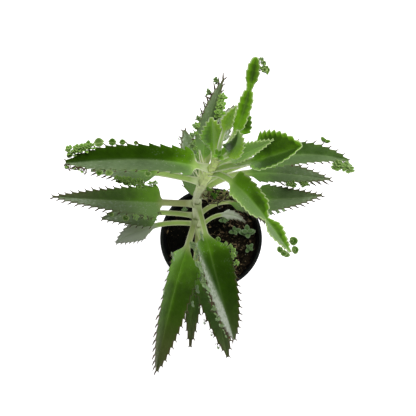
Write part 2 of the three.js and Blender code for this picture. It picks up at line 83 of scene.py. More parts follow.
# The stem's line, as packed: x, y, height and radius of its points
STEM_LINE = [
    (-5, -4, 34, 1.6), (-6, -3, 52, 3.2), (-8, -2, 76, 4.8), (-11.5, 1.5, 118, 4.2),
    (-13.5, 7, 165, 3.9), (-13, 11.5, 207, 3.5), (-11.5, 12.5, 238, 3.2), (-8.5, 14, 262, 3.2),
    (-4.5, 15, 286, 3.1), (-0.5, 16.5, 305, 2.9), (2.5, 17.5, 321, 2.4), (4, 18.5, 336, 1.2),
]
NODE_SWELL = 0.7
NODE_SPREAD = 5

# The leaf's form, as packed
EDGE_THICK = 0.8
RIB_UNDER = (1.3, 0.6)
TIP_HALF = 0.5
LOBE_REACH = 0.14
FILL = 0.9
WAIST_REACH = 0.09
FOLD_FROM = -0.1
FOLD_TO = 0.15
LINE_STEPS = 60
TOOTH_FROM = 0.05
TOOTH_PEAK = 0.62
TOOTH_NOTCH = 0.25
TOOTH_AT_TIP = 0.4
LEFT = 1
RIGHT = -1

# How finely scene.py draws a leaf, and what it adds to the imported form
TOOTH_PHASES = (0, 0.08, 0.18, 0.3, 0.43, 0.55, 0.66, 0.74, 0.8, 0.86, 0.93)
TOOTH_TOP = 0.8
TOOTH_FALL = 0.2
TOOTH_GROWTH = 1.15
MARGIN_HALF = 0.24
MARGIN_POWER = 7
CREST_WIDTH = 1.5
CREASE_WIDTH = 0.7
PETIOLE_START = 0.55
PETIOLE_SECTIONS = 15
JOINT_SWELL = 0.3
JOINT_LENGTH = 4.5
YOUNG_LEAVES = 8
OLD_FROM = 18

# What grows on the margins: a mark up to UNMARKED grows nothing, the plantlets' seed is that much
# past the spurs', and each kind of plantlet has its own depth of green
UNMARKED = 1e-4
UNEVENNESS = 0.22
PLANTLET_SEED = 50
PLANTLET_DEPTHS = (0.85, 0.9, 0.5, 0.1, 0, 0.6)

# How finely scene.py draws the stem, and the scars that the leaves leave on it
STEM_STEP = 0.75
SCAR_RISE = 1.5
SCAR_REACH = 0.9
SCAR_DEPTH = 0.05
TIP_LEAVES = 6


LEAF_SIZES = ("z", "turn", "sweep", "rise", "fall", "petiole", "blade", "stalk", "width", "belly", "fold",
              "teeth", "tooth")


def leaf(name, sizes, look, **values):
    """One row of the leaf table, with the usual values where it gives none."""
    usual = {"ease": 1, "blunt": 1.5, "lobes": (0.35, 0.35), "waist": None, "saw": 0.85, "pups": [],
             "spurs": [], "band": 0, "slim": 0, "roll": 0}
    return {"name": name, "look": look, **usual, **dict(zip(LEAF_SIZES, sizes)), **values}


# Each leaf gives its name, its sizes in the order of LEAF_SIZES, its look and what else is unusual.
# It joins the stem at height z. Its line starts towards the compass angle turn and climbs at rise
# degrees, then swings by sweep and comes to the slope fall, sooner where ease is over 1. petiole and
# blade are lengths, stalk is half the petiole's width, width is the blade's widest part and belly
# where that comes. fold lifts both halves, teeth counts a margin's teeth and tooth is their length.
# The look is how bright the green is, as two values where the halves differ, the darker half then
# being painted shade; how waxy its left and its right half are, the waxy coat being partly real and
# partly painted sheen, a painted reflection where one half is waxier and a painted highlight where it
# is thickest; how pale its margins and how olive it is. roll lowers the right half, lobes set the base
# lobes back, blunt fills out the tip and waist narrows the blade. saw is how much the teeth are like a
# saw's, slim is how much narrower the right half is and band lets the waxy coat and its
# painted highlight spread from the margins, sooner where it is high. spurs are runs of spurs: margin,
# from, to, length. pups are runs of plantlets: margin, from, to, how many, their size, which may go
# from one to another and lies over the blade where it is below 0, their kind and how wan.
LEAVES = [
    leaf("leaf_01", (303, 170, 13, 28, -6, 12, 95, 2.6, 21, 0.07, 30, 12, 2.3), (0.15, 0.75, 0, 0.2, 0.1),
         ease=2, roll=2, blunt=5, saw=1, spurs=[(LEFT, 0.25, 1, 1.5), (RIGHT, 0.36, 1, 1.5)],
         pups=[(RIGHT, 0.42, 0.76, 4, (3.4, 6), 0, 0), (RIGHT, 0.77, 0.96, 9, (7.5, 6.5), 3, 0),
               (RIGHT, 0.82, 0.98, 2, (4.5, 4), 1, 0), (RIGHT, 0.79, 0.81, 1, 7, 2, 0),
               (LEFT, 0.95, 0.98, 1, 4, 1, 0), (LEFT, 0.8, 0.98, 4, 8, 4, 0.1),
               (LEFT, 0.6, 0.76, 2, 4.4, 1, 0), (LEFT, 0.33, 0.35, 1, 4.2, 1, 0)]),
    leaf("leaf_02", (305, -8, 22, 44, 33, 38, 39, 2.6, 34, 0.3, 35, 10, 2.2),
         ((0.45, 0.25), 0.05, 0, 1.2, 0), roll=-16, blunt=2.6, lobes=(0.9, 0.1), saw=0.5),
    leaf("leaf_03", (296, -17, -37, 50, -10, 22, 67, 2.6, 20.5, 0.08, 30, 15, 1.3),
         ((0.5, 0.9), 0.15, 0.85, 1.3, 0), ease=3.3, blunt=2.4, lobes=(-0.2, 0.5), waist=(0.56, 0.75),
         saw=0.6, pups=[(LEFT, 0.84, 1.06, 2, 5.2, 1, 0), (RIGHT, 0.87, 1.02, 4, (4.2, 3.2), 1, 0)]),
    leaf("leaf_04", (324, 34, 44, 50, 28, 27, 52, 2, 9, 0.15, 22, 11, 1), (0.35, 0, 0.1, 1, 0.15),
         ease=2.5, blunt=14, waist=(0.6, 0.55), saw=0.5, pups=[(RIGHT, 0.82, 1, 4, (6.5, 6), 5, 0)]),
    leaf("leaf_05", (314, 4, 17, 45, 34, 16, 37, 2, 15, 0.2, 30, 12, 1.5), (1.0, 0.6, 0.6, 1.1, 0),
         roll=-6, ease=0.8, saw=1),
    leaf("leaf_06", (312, 91, 9, 60, 58, 14, 31, 1.9, 17, 0.5, 6, 9, 2), ((0.55, 1.6), 0, 0, 0.9, 0),
         blunt=1.3, saw=1),
    leaf("leaf_07", (333, 80, -30, 60, 40, 23, 20, 1.6, 9, 0.3, 25, 6, 1.1), (1.0, 0.1, 0.3, 1.1, 0),
         saw=0.7),
    # leaf_08's dark left half is painted shade.
    leaf("leaf_08", (328, -20, 130, 50, 65, 12, 26, 1.7, 17, 0.3, 32, 9, 1.6), ((0, 1.2), 0, 0, 1.1, 0),
         saw=1),
    leaf("leaf_09", (270, 167, 12, 15, -22, 38, 53, 2.6, 23, 0.15, 26, 10, 1.8), (0.5, 1, 0.6, 0.2, 0.15),
         roll=8, spurs=[(LEFT, 0.15, 0.97, 4.2)],
         pups=[(LEFT, 0.1, 0.5, 8, 6.5, 3, 0), (LEFT, 0.12, 0.5, 4, 5, 1, 0),
               (RIGHT, 0.56, 0.92, 2, 5, 1, 0)]),
    leaf("leaf_10", (272, 23, -36, 30, -24, 44, 74, 2.6, 20, 0.2, 28, 12, 1.6),
         (0.38, 0.35, 0.65, 0.2, 0.15), blunt=2.1, ease=0.8,
         spurs=[(LEFT, 0.2, 1, 2), (RIGHT, 0.3, 0.9, 1.8)],
         pups=[(RIGHT, 0.8, 0.95, 5, (12, 11), 5, 0.1), (LEFT, 0.64, 0.7, 1, 11, 2, 0)]),
    leaf("leaf_11", (262, 89, -26, 25, 3, 21, 66, 2.4, 20, 0.2, 42, 12, 1.5), (0.4, 0.85, 0.6, 0.1, 0.55),
         ease=0.8, spurs=[(LEFT, 0.05, 1, 4), (RIGHT, 0.3, 1, 2.2)],
         pups=[(LEFT, 0.68, 0.95, 2, 9, 5, 0.45), (LEFT, 0.3, 0.75, 5, 7, 4, 0.7),
               (LEFT, 0.1, 0.5, 4, 7.5, 5, 0.45), (LEFT, 0.02, 0.4, 5, 4.6, 3, 0.1),
               (RIGHT, 0.5, 0.76, 7, 7, 3, 0)]),
    leaf("leaf_12", (210, 57, -64, 74, -5, 65, 65, 2.8, 19, 0.15, 25, 12, 1.8), (0.4, 0.85, 0.8, 0.2, 0.3),
         ease=2.8, blunt=2, spurs=[(RIGHT, 0.3, 1, 4), (LEFT, 0.5, 1, 1.8)],
         pups=[(RIGHT, 0.35, 0.9, 5, 6, 4, 0.6), (RIGHT, 0.42, 0.72, 4, (10, 8), 5, 0)]),
    leaf("leaf_13", (236, -11, 22, 13, -12, 48, 56, 2.6, 24, 0.15, 22, 11, 1.6),
         (0.35, 0.6, 0.9, 0.1, 0.4), blunt=1.2, spurs=[(RIGHT, 0.2, 1, 3), (LEFT, 0.4, 1, 1.8)],
         pups=[(RIGHT, 0.05, 0.4, 4, 3.5, 3, 0.7)]),
    leaf("leaf_14", (236, 76, -20, 35, 10, 48, 32, 2.2, 19, 0.2, 25, 8, 1.4), (0.35, 1.5, 1.4, 0.2, 0.4)),
    leaf("leaf_15", (288, 29, 49, 40, 20, 44, 17, 1.8, 12, 0.2, 20, 5, 1.5), (0.35, 0.05, 0.1, 0.5, 0),
         saw=0.3),
    leaf("leaf_16", (206, 87, 22, 38, 7, 5, 61, 2.2, 23, 0.25, 18, 11, 1.4), (0.7, 1, 0.8, 0.3, 0.4),
         ease=1.5, blunt=2.5, spurs=[(LEFT, 0.2, 1, 2), (RIGHT, 0.2, 1, 2)],
         pups=[(LEFT, 0.4, 0.95, 4, 5, 4, 0.8), (RIGHT, 0.5, 0.9, 3, 7, 4, 0.8)]),
    leaf("leaf_17", (204, 183, -10, 25, -15, 32, 95, 2.8, 28, 0.08, 22, 15, 2), (0.5, 1.05, 0.4, 0.1, 0.7),
         blunt=1.25, spurs=[(LEFT, 0.05, 1, 2.8), (RIGHT, 0.05, 1, 2)],
         pups=[(LEFT, 0.23, 0.47, 2, 5, 1, 0), (LEFT, 0.02, 0.26, 5, 7, 4, 0.6),
               (LEFT, 0.05, 0.25, 3, 5, 3, 0.3), (RIGHT, 0.06, 0.3, 5, 5.5, 3, 0.1)]),
    # leaf_18's streaky pale right half is a painted highlight over its waxy coat.
    leaf("leaf_18", (216, -77, 5, 12, -42, 30, 100, 2.4, 33, 0.12, 28, 15, 1.8), (0.15, 0, 1.5, 0.1, 0.3),
         roll=-14, blunt=2.7, lobes=(0.2, -0.4), band=1.3, slim=0.2,
         spurs=[(LEFT, 0.1, 1, 2), (RIGHT, 0.25, 1, 3)],
         pups=[(LEFT, 0.06, 0.3, 6, 4.4, 3, 0), (LEFT, 0.03, 0.05, 1, 5.5, 0, 0),
               (RIGHT, 0, 0.42, 6, (10, 8), 2, 0.75), (RIGHT, 0.03, 0.4, 3, 9, 5, 0.6),
               (RIGHT, 0.3, 0.95, 14, (9, 6), 4, 0.8), (RIGHT, 0.55, 0.8, 3, 5, 3, 0.8)]),
    leaf("leaf_19", (168, -107, 5, 25, -40, 32, 122, 2.8, 33, 0.12, 34, 16, 2),
         ((0.38, 0.52), 0, 0.2, 0.1, 0.6), roll=-28, blunt=2.3, lobes=(0, -0.4),
         spurs=[(RIGHT, 0.05, 0.4, 2), (RIGHT, 0.4, 1, 4), (LEFT, 0.4, 1, 1.8)],
         pups=[(RIGHT, 0.1, 0.14, 1, 7, 2, 0.9), (RIGHT, 0.3, 0.42, 1, 7.5, 2, 0.9),
               (LEFT, 0.05, 0.45, 4, (9, 7), 2, 0.9)]),
    leaf("leaf_20", (168, 174, 16, 20, -15, 37, 52, 2.4, 26, 0.15, 12, 9, 1.4), (0.35, 1, 0.95, 0.1, 0.3),
         spurs=[(LEFT, 0.1, 1, 2), (RIGHT, 0.1, 1, 2)],
         pups=[(RIGHT, 0.1, 0.6, 5, -7, 4, 0.6), (RIGHT, 0.15, 0.5, 3, 5, 3, 0.2)]),
    leaf("leaf_21", (162, 49, -108, 30, -40, 37, 42, 2.2, 17, 0.2, 25, 7, 1.4), (0.3, 0.8, 0.8, 0.1, 0.5),
         spurs=[(LEFT, 0.2, 1, 1.8), (RIGHT, 0.3, 1, 1.6)]),
    # leaf_22's thick pale coat is mostly painted light, standing for light falling on it from the side.
    leaf("leaf_22", (142, 174, 38, 20, -22, 43, 41, 2.4, 20, 0.35, 10, 9, 1.4), (0.5, 4, 4, 0.1, 0.2),
         spurs=[(LEFT, 0.2, 1, 1.4), (RIGHT, 0.3, 1, 1.4)]),
    leaf("leaf_23", (134, -94, 0, 15, -35, 36, 84, 2.4, 20, 0.15, 18, 9, 1.6), (0.5, 0.3, 0.3, 0.1, 0.6),
         spurs=[(LEFT, 0.1, 1, 2), (RIGHT, 0.2, 1, 1.8)]),
    leaf("leaf_24", (146, -78, 2, 10, -30, 38, 95, 2.4, 33, 0.15, 18, 11, 1.6), (0.4, 0.35, 0.3, 0.1, 0.4),
         spurs=[(LEFT, 0.1, 1, 2.2), (RIGHT, 0.2, 1, 1.8)], pups=[(RIGHT, 0.2, 0.9, 5, 7, 4, 0.8)]),
    leaf("leaf_25", (122, 59, -100, 30, -20, 30, 24, 2, 9, 0.2, 20, 5, 1.2), (0.3, 2.3, 2.3, 0.1, 0.3),
         spurs=[(LEFT, 0.3, 1, 1.6), (RIGHT, 0.3, 1, 1.4)]),
]

# The seedlings: x, y, height of the shoot, leaf length and pairs of leaves, as packed, and the
# compass turn of the lowest pair
SEEDLINGS = {
    "seedling_1": (38, 7, 10, 11, 3, 5),
    "seedling_2": (40, -10, 7, 8, 2, 51),
    "seedling_3": (24, -16, 6, 6, 2, 27),
    "seedling_4": (-28, 31, 5, 6, 2, 93),
    "seedling_5": (14, 20, 9, 8, 2, 10),
    "seedling_6": (25, 8, 7, 9, 2, 15),
}
TANGLE_ON = "leaf_13"
TANGLE_FROM = 9
TANGLE_TO = 31
TANGLE_REACH = 7
TANGLE_STEPS = 13
LEAFY_EVERY = 9

# Thin roots in the air by the upper nodes: height on the stem, compass angle, climb, length
AIR_ROOTS = [(252, 118, 40, 19), (256, 96, 52, 24), (262, 108, 34, 22), (268, 128, 30, 18),
             (274, 100, 46, 26), (282, 112, 38, 24), (288, 92, 30, 22), (246, 20, 10, 12)]
SHOOT_RADIUS = 0.9
SHOOT_DEPTH = 7
LEAFLET_RISE = 0.35
AIR_ROOT_STEPS = 12

# The stage: the floor and the film are in millimetres, the picture is in pixels, and the nearest
# view and the overhead light are in metres. The backdrop's light comes from BACKDROP_TOWARDS.
FLOOR_HALF = 3000
FILM_WIDTH = 36
PICTURE_WIDTH = 416
NEAREST = 0.01
LAMP_WIDTH = 1.1
LAMP_PLACE = (0.25, 0.35, 1.5)
LAMP_AIM = (0, 0, 0.2)
BACKDROP_TOWARDS = (0.64, 0.77)


def rgb(red, green, blue):
    """A colour given as on a screen, from 0 to 255, turned to linear light for a colour property."""
    linear = []
    for part in (red, green, blue):
        share = part / 255
        linear.append(share / 12.92 if share <= 0.04045 else ((share + 0.055) / 1.055) ** 2.4)
    return tuple(linear)


# Shades that materials blend into their main colours
STEM_STREAK = rgb(128, 148, 92)
STEM_SPECK = rgb(132, 120, 84)
LEAF_MOTTLE = rgb(30, 54, 10)
UNDER_MOTTLE = rgb(122, 140, 100)
UNDER_FLECK = rgb(110, 92, 78)
OLD_PETIOLE = rgb(172, 172, 124)
PLANTLET_DEEP = rgb(40, 82, 2)
WAN_DARK, WAN_PALE = rgb(124, 140, 106), rgb(176, 204, 162)
SPUR_PALE = rgb(112, 88, 62)
CRUMB_PALE = rgb(84, 72, 54)
BARK_DARK = rgb(60, 42, 28)
PERLITE_DARK = rgb(190, 186, 176)
ROOT_PALE = rgb(176, 166, 116)
ROOT_FRESH = rgb(222, 226, 190)
TANGLE_DARK, TANGLE_PALE = rgb(58, 104, 16), rgb(112, 158, 60)
SEEDLING_RIM = rgb(176, 200, 160)
SEEDLING_SHOOT = rgb(150, 172, 120)


def colour_property(name, description, shade):
    return bpy.props.FloatVectorProperty(
        name=name, description=description, subtype="COLOR", size=3, min=0, max=1, default=rgb(*shade))


def length_property(name, description, millimetres):
    return bpy.props.FloatProperty(
        name=name, description=description, unit="LENGTH", default=millimetres * MM, min=0, precision=5)


def share_property(name, description, share):
    return bpy.props.FloatProperty(
        name=name, description=description, subtype="FACTOR", default=share, min=0, max=1)


def count_property(name, description, count, least=0):
    return bpy.props.IntProperty(name=name, description=description, default=count, min=least)


def number_property(name, description, number, **kind):
    return bpy.props.FloatProperty(name=name, description=description, default=number, **kind)


class PotSettings(bpy.types.PropertyGroup):
    plastic: colour_property("Plastic", "Colour of the moulded plastic", (22, 25, 28))
    dust: colour_property("Dust", "Colour of dried water marks and dust", (70, 75, 80))
    gloss: share_property("Gloss", "How glossy the plastic is", 0.68)
    sides: count_property("Sides", "Facets round the pot", 160, 16)


class SoilSettings(bpy.types.PropertyGroup):
    # The damp colour is near-black, partly painted shade under the leaves over a dark mix.
    damp: colour_property("Damp soil", "Colour of the damp potting mix", (7, 6, 5))
    dry: colour_property("Dry soil", "Colour of the drier crumbs", (58, 48, 34))
    bark: colour_property("Bark", "Colour of the bark bits", (166, 146, 112))
    perlite: colour_property("Perlite", "Colour of the perlite", (225, 222, 212))
    crumbs: number_property("Crumbs", "Crumbs on each square metre of soil", 330000, min=0)
    barks: number_property("Bark bits", "Bark bits on each square metre of soil", 52000, min=0)
    perlites: number_property("Perlite bits", "Perlite bits on each square metre of soil", 2500, min=0)
    seed: count_property("Seed", "Picks another scatter", 4)


class StemSettings(bpy.types.PropertyGroup):
    # Both bark colours are paler than the bark's own green, partly painted light on a stem that the leaves
    # shade; the top is paler still, partly younger bark and partly a painted highlight.
    young: colour_property("Young bark", "Colour of the stem near its top", (226, 250, 140))
    old: colour_property("Old bark", "Colour of the stem lower down", (206, 215, 166))
    scar: colour_property("Leaf scar", "Colour of the rings where leaves join", (150, 150, 104))
    ribs: count_property("Ribs", "Ribs round the stem", 6, 3)
    depth: share_property("Rib depth", "Depth of the ribs as a share of the radius", 0.09)
    sides: count_property("Sides", "Points round the stem", 54, 12)


class LeafSettings(bpy.types.PropertyGroup):
    # Dark green also serves as painted shade on the darker half of some leaves.
    dark: colour_property("Dark green", "Upper face of the darkest leaves", (34, 62, 4))
    deep: colour_property("Deep green", "Upper face of a grown leaf", (56, 94, 6))
    bright: colour_property("Bright green", "Upper face of a young leaf", (120, 180, 26))
    lime: colour_property("Lime", "Upper face of the youngest leaves", (164, 214, 58))
    # The waxy colours are partly real and partly painted sheen: a painted reflection where one half is
    # waxier, and a painted highlight where they are thickest.
    wax_and_sheen: colour_property("Wax", "Pale waxy bloom", (138, 160, 118))
    silver_bloom_and_highlight: colour_property("Silver", "The thickest bloom", (220, 228, 212))
    olive: colour_property("Olive", "Upper face of an ageing leaf", (92, 104, 52))
    pale: colour_property("Pale margin", "Margins of young leaves and their ribs", (200, 226, 150))
    edge: colour_property("Brown edge", "Margins of ageing leaves", (98, 82, 58))
    under: colour_property("Underside", "Underside of a leaf", (150, 166, 128))
    # The near-white petiole colour is a painted highlight along the petiole's edges, and the groove's darker
    # green is partly painted shade in the groove.
    stalk: colour_property("Petiole", "Edges of a petiole", (246, 255, 214))
    groove: colour_property("Groove", "Groove along a petiole", (184, 222, 118))
    spur: colour_property("Spur", "Spurs between the teeth", (62, 46, 38))
    columns: count_property("Columns", "Points across each face of a leaf", 19, 5)
    plump: length_property("Plumpness", "How far each half bulges between rib and margin", 0.35)
    wave: length_property("Wave", "How far the margin waves up and down", 0.7)
    rough: share_property("Roughness", "How dull a leaf is", 0.36)


class PlantletSettings(bpy.types.PropertyGroup):
    green: colour_property("Green", "Plantlets' leaves", (122, 178, 36))
    heart: colour_property("Heart", "Plantlets' pale middles", (196, 224, 140))
    stalk: colour_property("Stalk", "Plantlets' stalks", (88, 72, 46))
    seedling: colour_property("Seedling", "Seedlings in the soil", (96, 130, 72))
    root: colour_property("Root", "Dried roots of plantlets", (40, 32, 20))
    roots: count_property("Roots", "Roots lodged on a petiole", 40, 1)
    seed: count_property("Seed", "Picks other turns and sizes", 11)


class StageSettings(bpy.types.PropertyGroup):
    camera: bpy.props.FloatVectorProperty(
        name="Camera", description="Where the camera stands", unit="LENGTH", subtype="TRANSLATION",
        default=(-3.2 * MM, -109.5 * MM, 781.4 * MM), precision=4)
    elevation: number_property(
        "Elevation", "How steeply the camera looks down", math.radians(78.5), unit="ROTATION")
    focal_px: number_property("Focal length", "Focal length in pixels of a 416 pixel picture", 675)
    floor: colour_property("Floor", "Floor and backdrop", (255, 255, 255))
    glow: number_property("Floor glow", "Light that the floor gives", 1.0)
    backdrop: number_property("Backdrop", "Light from low behind the plant and to its right", 3.2)
    horizon: number_property("Horizon", "Light from low on the viewer's side", 0.1)
    zenith: number_property("Zenith", "Light from straight above", 0.15)
    fill: number_property("Fill", "Even light from all round that isn't mirrored", 1.05)
    overhead: number_property("Overhead light", "Soft light from above", 16, unit="POWER")


SETTINGS = {
    "kalanchoe_pot": PotSettings,
    "kalanchoe_soil": SoilSettings,
    "kalanchoe_stem": StemSettings,
    "kalanchoe_leaf": LeafSettings,
    "kalanchoe_plantlet": PlantletSettings,
    "kalanchoe_stage": StageSettings,
}


# Numbers

def mix(low, high, share):
    return low + (high - low) * share


def smooth(value, low, high):
    """0 below low, 1 above high, and eased between them. value may be an array."""
    share = np.clip((np.asarray(value, float) - low) / (high - low), 0, 1)
    return share * share * (3 - 2 * share)


def bumps(place, size, seed=0):
    """Smooth noise from about -1 to 1 at a place in millimetres, with bumps of the given size."""
    return noise.noise(Vector(place) / size + Vector((seed * 7.3, seed * 3.1, seed * 5.7)))


def both(value):
    """A pair as it is, or one value twice."""
    return value if isinstance(value, tuple) else (value, value)


def pointing(compass, slope):
    """The direction towards a compass angle that climbs at a slope, both in radians."""
    return np.array([
        math.cos(compass) * math.cos(slope), math.sin(compass) * math.cos(slope), math.sin(slope)])


def ring_angles(sides):
    return np.arange(sides) * 2 * math.pi / sides


# The stem's line

def stem_span(z):
    """The point of the stem's line below height z, and the share of the way to the next one."""
    i = 0
    while i < len(STEM_LINE) - 2 and STEM_LINE[i + 1][2] < z:
        i += 1
    low, high = STEM_LINE[i][2], STEM_LINE[i + 1][2]
    return i, min(1, max(0, (z - low) / (high - low)))


def stem_lean(i, axis):
    before = STEM_LINE[max(i - 1, 0)]
    after = STEM_LINE[min(i + 1, len(STEM_LINE) - 1)]
    return (after[axis] - before[axis]) / (after[2] - before[2])


def stem_middle(z):
    """The middle of the stem at height z, on a cubic between the points below and above it."""
    i, u = stem_span(z)
    below, above = STEM_LINE[i], STEM_LINE[i + 1]
    rise = above[2] - below[2]
    place = [
        below[axis] * (2 * u ** 3 - 3 * u ** 2 + 1)
        + above[axis] * (3 * u ** 2 - 2 * u ** 3)
        + stem_lean(i, axis) * rise * (u ** 3 - 2 * u ** 2 + u)
        + stem_lean(i + 1, axis) * rise * (u ** 3 - u ** 2)
        for axis in (0, 1)
    ]
    return np.array([*place, z])


def stem_radius(z):
    i, share = stem_span(z)
    plain = mix(STEM_LINE[i][3], STEM_LINE[i + 1][3], share)
    swell = max(math.exp(-(((z - leaf["z"]) / NODE_SPREAD) ** 2)) for leaf in LEAVES)
    return plain + NODE_SWELL * min(1, swell) * plain / 4


# Meshes

def link_object(name, data):
    made = bpy.data.objects.new(name, data)
    bpy.context.scene.collection.objects.link(made)
    return made


def make_object(name, points, faces, attributes=None):
    """An object of millimetre points. attributes are values for each point, as name to array."""
    mesh = bpy.data.meshes.new(name)
    mesh.from_pydata([tuple(point) for point in np.asarray(points) * MM], [], faces)
    for key, values in (attributes or {}).items():
        values = np.asarray(values, np.float32)
        kind, field = {1: ("FLOAT", "value"), 3: ("FLOAT_VECTOR", "vector"), 4: ("FLOAT_COLOR", "color")}[
            1 if values.ndim == 1 else values.shape[1]]
        layer = mesh.attributes.new(key, kind, "POINT")
        layer.data.foreach_set(field, values.ravel())
    mesh.polygons.foreach_set("use_smooth", [True] * len(mesh.polygons))
    mesh.validate()
    return link_object(name, mesh)


def loft_faces(rings, sides, first=0):
    """Faces of a closed skin over rings that have the same number of points, capped at both ends."""
    faces = [tuple(reversed(range(first, first + sides)))]
    for i in range(rings - 1):
        for j in range(sides):
            a = first + i * sides + j
            b = first + i * sides + (j + 1) % sides
            faces.append((a, b, b + sides, a + sides))
    last = first + (rings - 1) * sides
    faces.append(tuple(range(last, last + sides)))
    return faces


def facing_out(points, faces):
    """The faces, turned round if the skin they close is inside out."""
    points = np.asarray(points)
    volume = 0
    for face in faces:
        for j in range(1, len(face) - 1):
            volume += np.dot(points[face[0]], np.cross(points[face[j]], points[face[j + 1]]))
    return faces if volume > 0 else [tuple(reversed(face)) for face in faces]


class Sprig:
    """Lofted bits gathered into one mesh. Its points tell stalks from leaves and mark pale rims."""

    def __init__(self):
        self.points, self.faces, self.stalk, self.rim = [], [], [], []

    def loft(self, rings, stalk, rim=None):
        """Adds a closed skin over an array of rings."""
        rings = np.asarray(rings, float)
        count, sides = rings.shape[:2]
        points = rings.reshape(-1, 3)
        faces = facing_out(points, loft_faces(count, sides))
        rim = np.zeros(len(points)) if rim is None else np.ravel(rim)
        self.gather(points, faces, [stalk] * len(points), rim)

    def gather(self, points, faces, stalk, rim):
        """Adds points, the faces on them, and how much of a stalk and a rim each point is."""
        first = len(self.points)
        self.faces += [tuple(first + i for i in face) for face in faces]
        self.points += list(points)
        self.stalk += list(stalk)
        self.rim += list(rim)

    def leaflet(self, base, along, up, length, width, thick, cup=0.0, steps=7, sides=8, blunt=0.62):
        """A fleshy round leaf from base, widest past its middle, that curls up by cup."""
        along = np.asarray(along, float) / np.linalg.norm(along)
        across = np.cross(along, up)
        across /= np.linalg.norm(across)
        normal = np.cross(across, along)
        rings, rim = [], []
        for i in range(steps):
            u = 0.5 - 0.5 * math.cos(math.pi * mix(0.04, 0.96, i / (steps - 1)))
            half = width / 2 * math.sin(math.pi * u ** blunt) ** 0.5
            deep = thick / 2 * math.sin(math.pi * u ** 0.8) ** 0.5
            angles = ring_angles(sides)
            side, lift = half * np.cos(angles), deep * np.sin(angles)
            lift = lift + cup * length * (u ** 2 + 0.6 * (side / max(width, 1e-6)) ** 2)
            middle = np.asarray(base) + along * length * u
            rings.append(middle + np.outer(side, across) + np.outer(lift, normal))
            rim.append(np.maximum(np.abs(np.cos(angles)) ** 4, max(0, 1 - u / 0.2, (u - 0.8) / 0.2)))
        self.loft(rings, 0, rim)

    def tube(self, path, radii, stalk, sides=6):
        """A round tube over path, a list of places, with a radius at each of them."""
        path = np.asarray(path, float)
        along = np.gradient(path, axis=0)
        along /= np.linalg.norm(along, axis=1)[:, None]
        aside = np.cross(along, (0.31, 0.17, 0.94))
        if np.min(np.linalg.norm(aside, axis=1)) < 0.2:
            aside = np.cross(along, (1, 0.1, 0.1))
        aside /= np.linalg.norm(aside, axis=1)[:, None]
        other = np.cross(along, aside)
        angles = ring_angles(sides)
        rings = [
            middle + radius * (np.outer(np.cos(angles), one) + np.outer(np.sin(angles), two))
            for middle, radius, one, two in zip(path, radii, aside, other)
        ]
        self.loft(rings, stalk)

    def make(self, name, **attributes):
        values = {"stalk": self.stalk, "rim": self.rim}
        values.update({key: [value] * len(self.points) for key, value in attributes.items()})
        return make_object(name, self.points, self.faces, values)


def lathe(name, profile, sides):
    """A turned solid. The profile is a list of (radius, height), and a flat cap closes each end."""
    points = [
        (radius * math.cos(2 * math.pi * j / sides), radius * math.sin(2 * math.pi * j / sides), height)
        for radius, height in profile for j in range(sides)
    ]
    return make_object(name, points, facing_out(points, loft_faces(len(profile), sides)))


def finished_mesh(thing):
    """Turns an object's modifiers into a plain mesh and takes them off."""
    graph = bpy.context.evaluated_depsgraph_get()
    graph.update()
    mesh = bpy.data.meshes.new_from_object(thing.evaluated_get(graph), depsgraph=graph)
    thing.modifiers.clear()
    old = thing.data
    thing.data = mesh
    mesh.name = thing.name
    bpy.data.meshes.remove(old)


def settle(thing, slot, *nodes):
    """A finished piece rides on the body and hides the CAD nodes it stands for. slot is not used."""
    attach(thing, ROOT)
    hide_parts(*nodes)


def discard(*things):
    for thing in things:
        mesh = thing.data
        bpy.data.objects.remove(thing)
        bpy.data.meshes.remove(mesh)


# Node trees

class Field:
    """A socket that can be used in sums: an expression on fields adds its Math nodes."""

    def __init__(self, nodes, socket):
        self.nodes, self.socket = nodes, socket

    def math(self, operation, *others):
        return self.nodes.math(operation, self, *others)

    def __add__(self, other):
        return self.math("ADD", other)

    def __sub__(self, other):
        return self.math("SUBTRACT", other)

    def __rsub__(self, other):
        return self.nodes.math("SUBTRACT", other, self)

    def __mul__(self, other):
        return self.math("MULTIPLY", other)

    def __truediv__(self, other):
        return self.math("DIVIDE", other)

    def __pow__(self, other):
        return self.math("POWER", other)

    __radd__ = __add__
    __rmul__ = __mul__


class Nodes:
    """Adds nodes to one tree."""

    def __init__(self, tree):
        self.tree = tree

    def add(self, kind, settings=None, values=None, output=0):
        """Adds a node: first its settings, then the values or links of its sockets."""
        node = self.tree.nodes.new(kind)
        for key, value in (settings or {}).items():
            setattr(node, key, value)
        for key, value in (values or {}).items():
            self.put(node.inputs[key], value)
        return Field(self, node.outputs[output])

    def put(self, socket, value):
        """Links a field to a socket, or sets the socket's own value. A colour has three parts."""
        if isinstance(value, Field):
            self.tree.links.new(value.socket, socket)
        else:
            socket.default_value = (*value, 1) if socket.type == "RGBA" else value

    def math(self, operation, *values):
        return self.add("ShaderNodeMath", {"operation": operation}, dict(enumerate(values)))

    def parts(self, vector):
        """The three numbers of a vector or colour."""
        node = self.add("ShaderNodeSeparateXYZ", values={0: vector}).socket.node
        return [Field(self, socket) for socket in node.outputs]

    def step(self, value, low, high):
        """0 below low, 1 above high, eased between them. low may be the higher one."""
        settings = {"interpolation_type": "SMOOTHSTEP"}
        share = self.add("ShaderNodeMapRange", settings, {0: value, 1: min(low, high), 2: max(low, high)})
        return 1 - share if low > high else share

    def blend(self, share, first, second):
        """A colour between two colours."""
        return self.add("ShaderNodeMix", {"data_type": "RGBA"}, {0: share, 6: first, 7: second}, output=2)


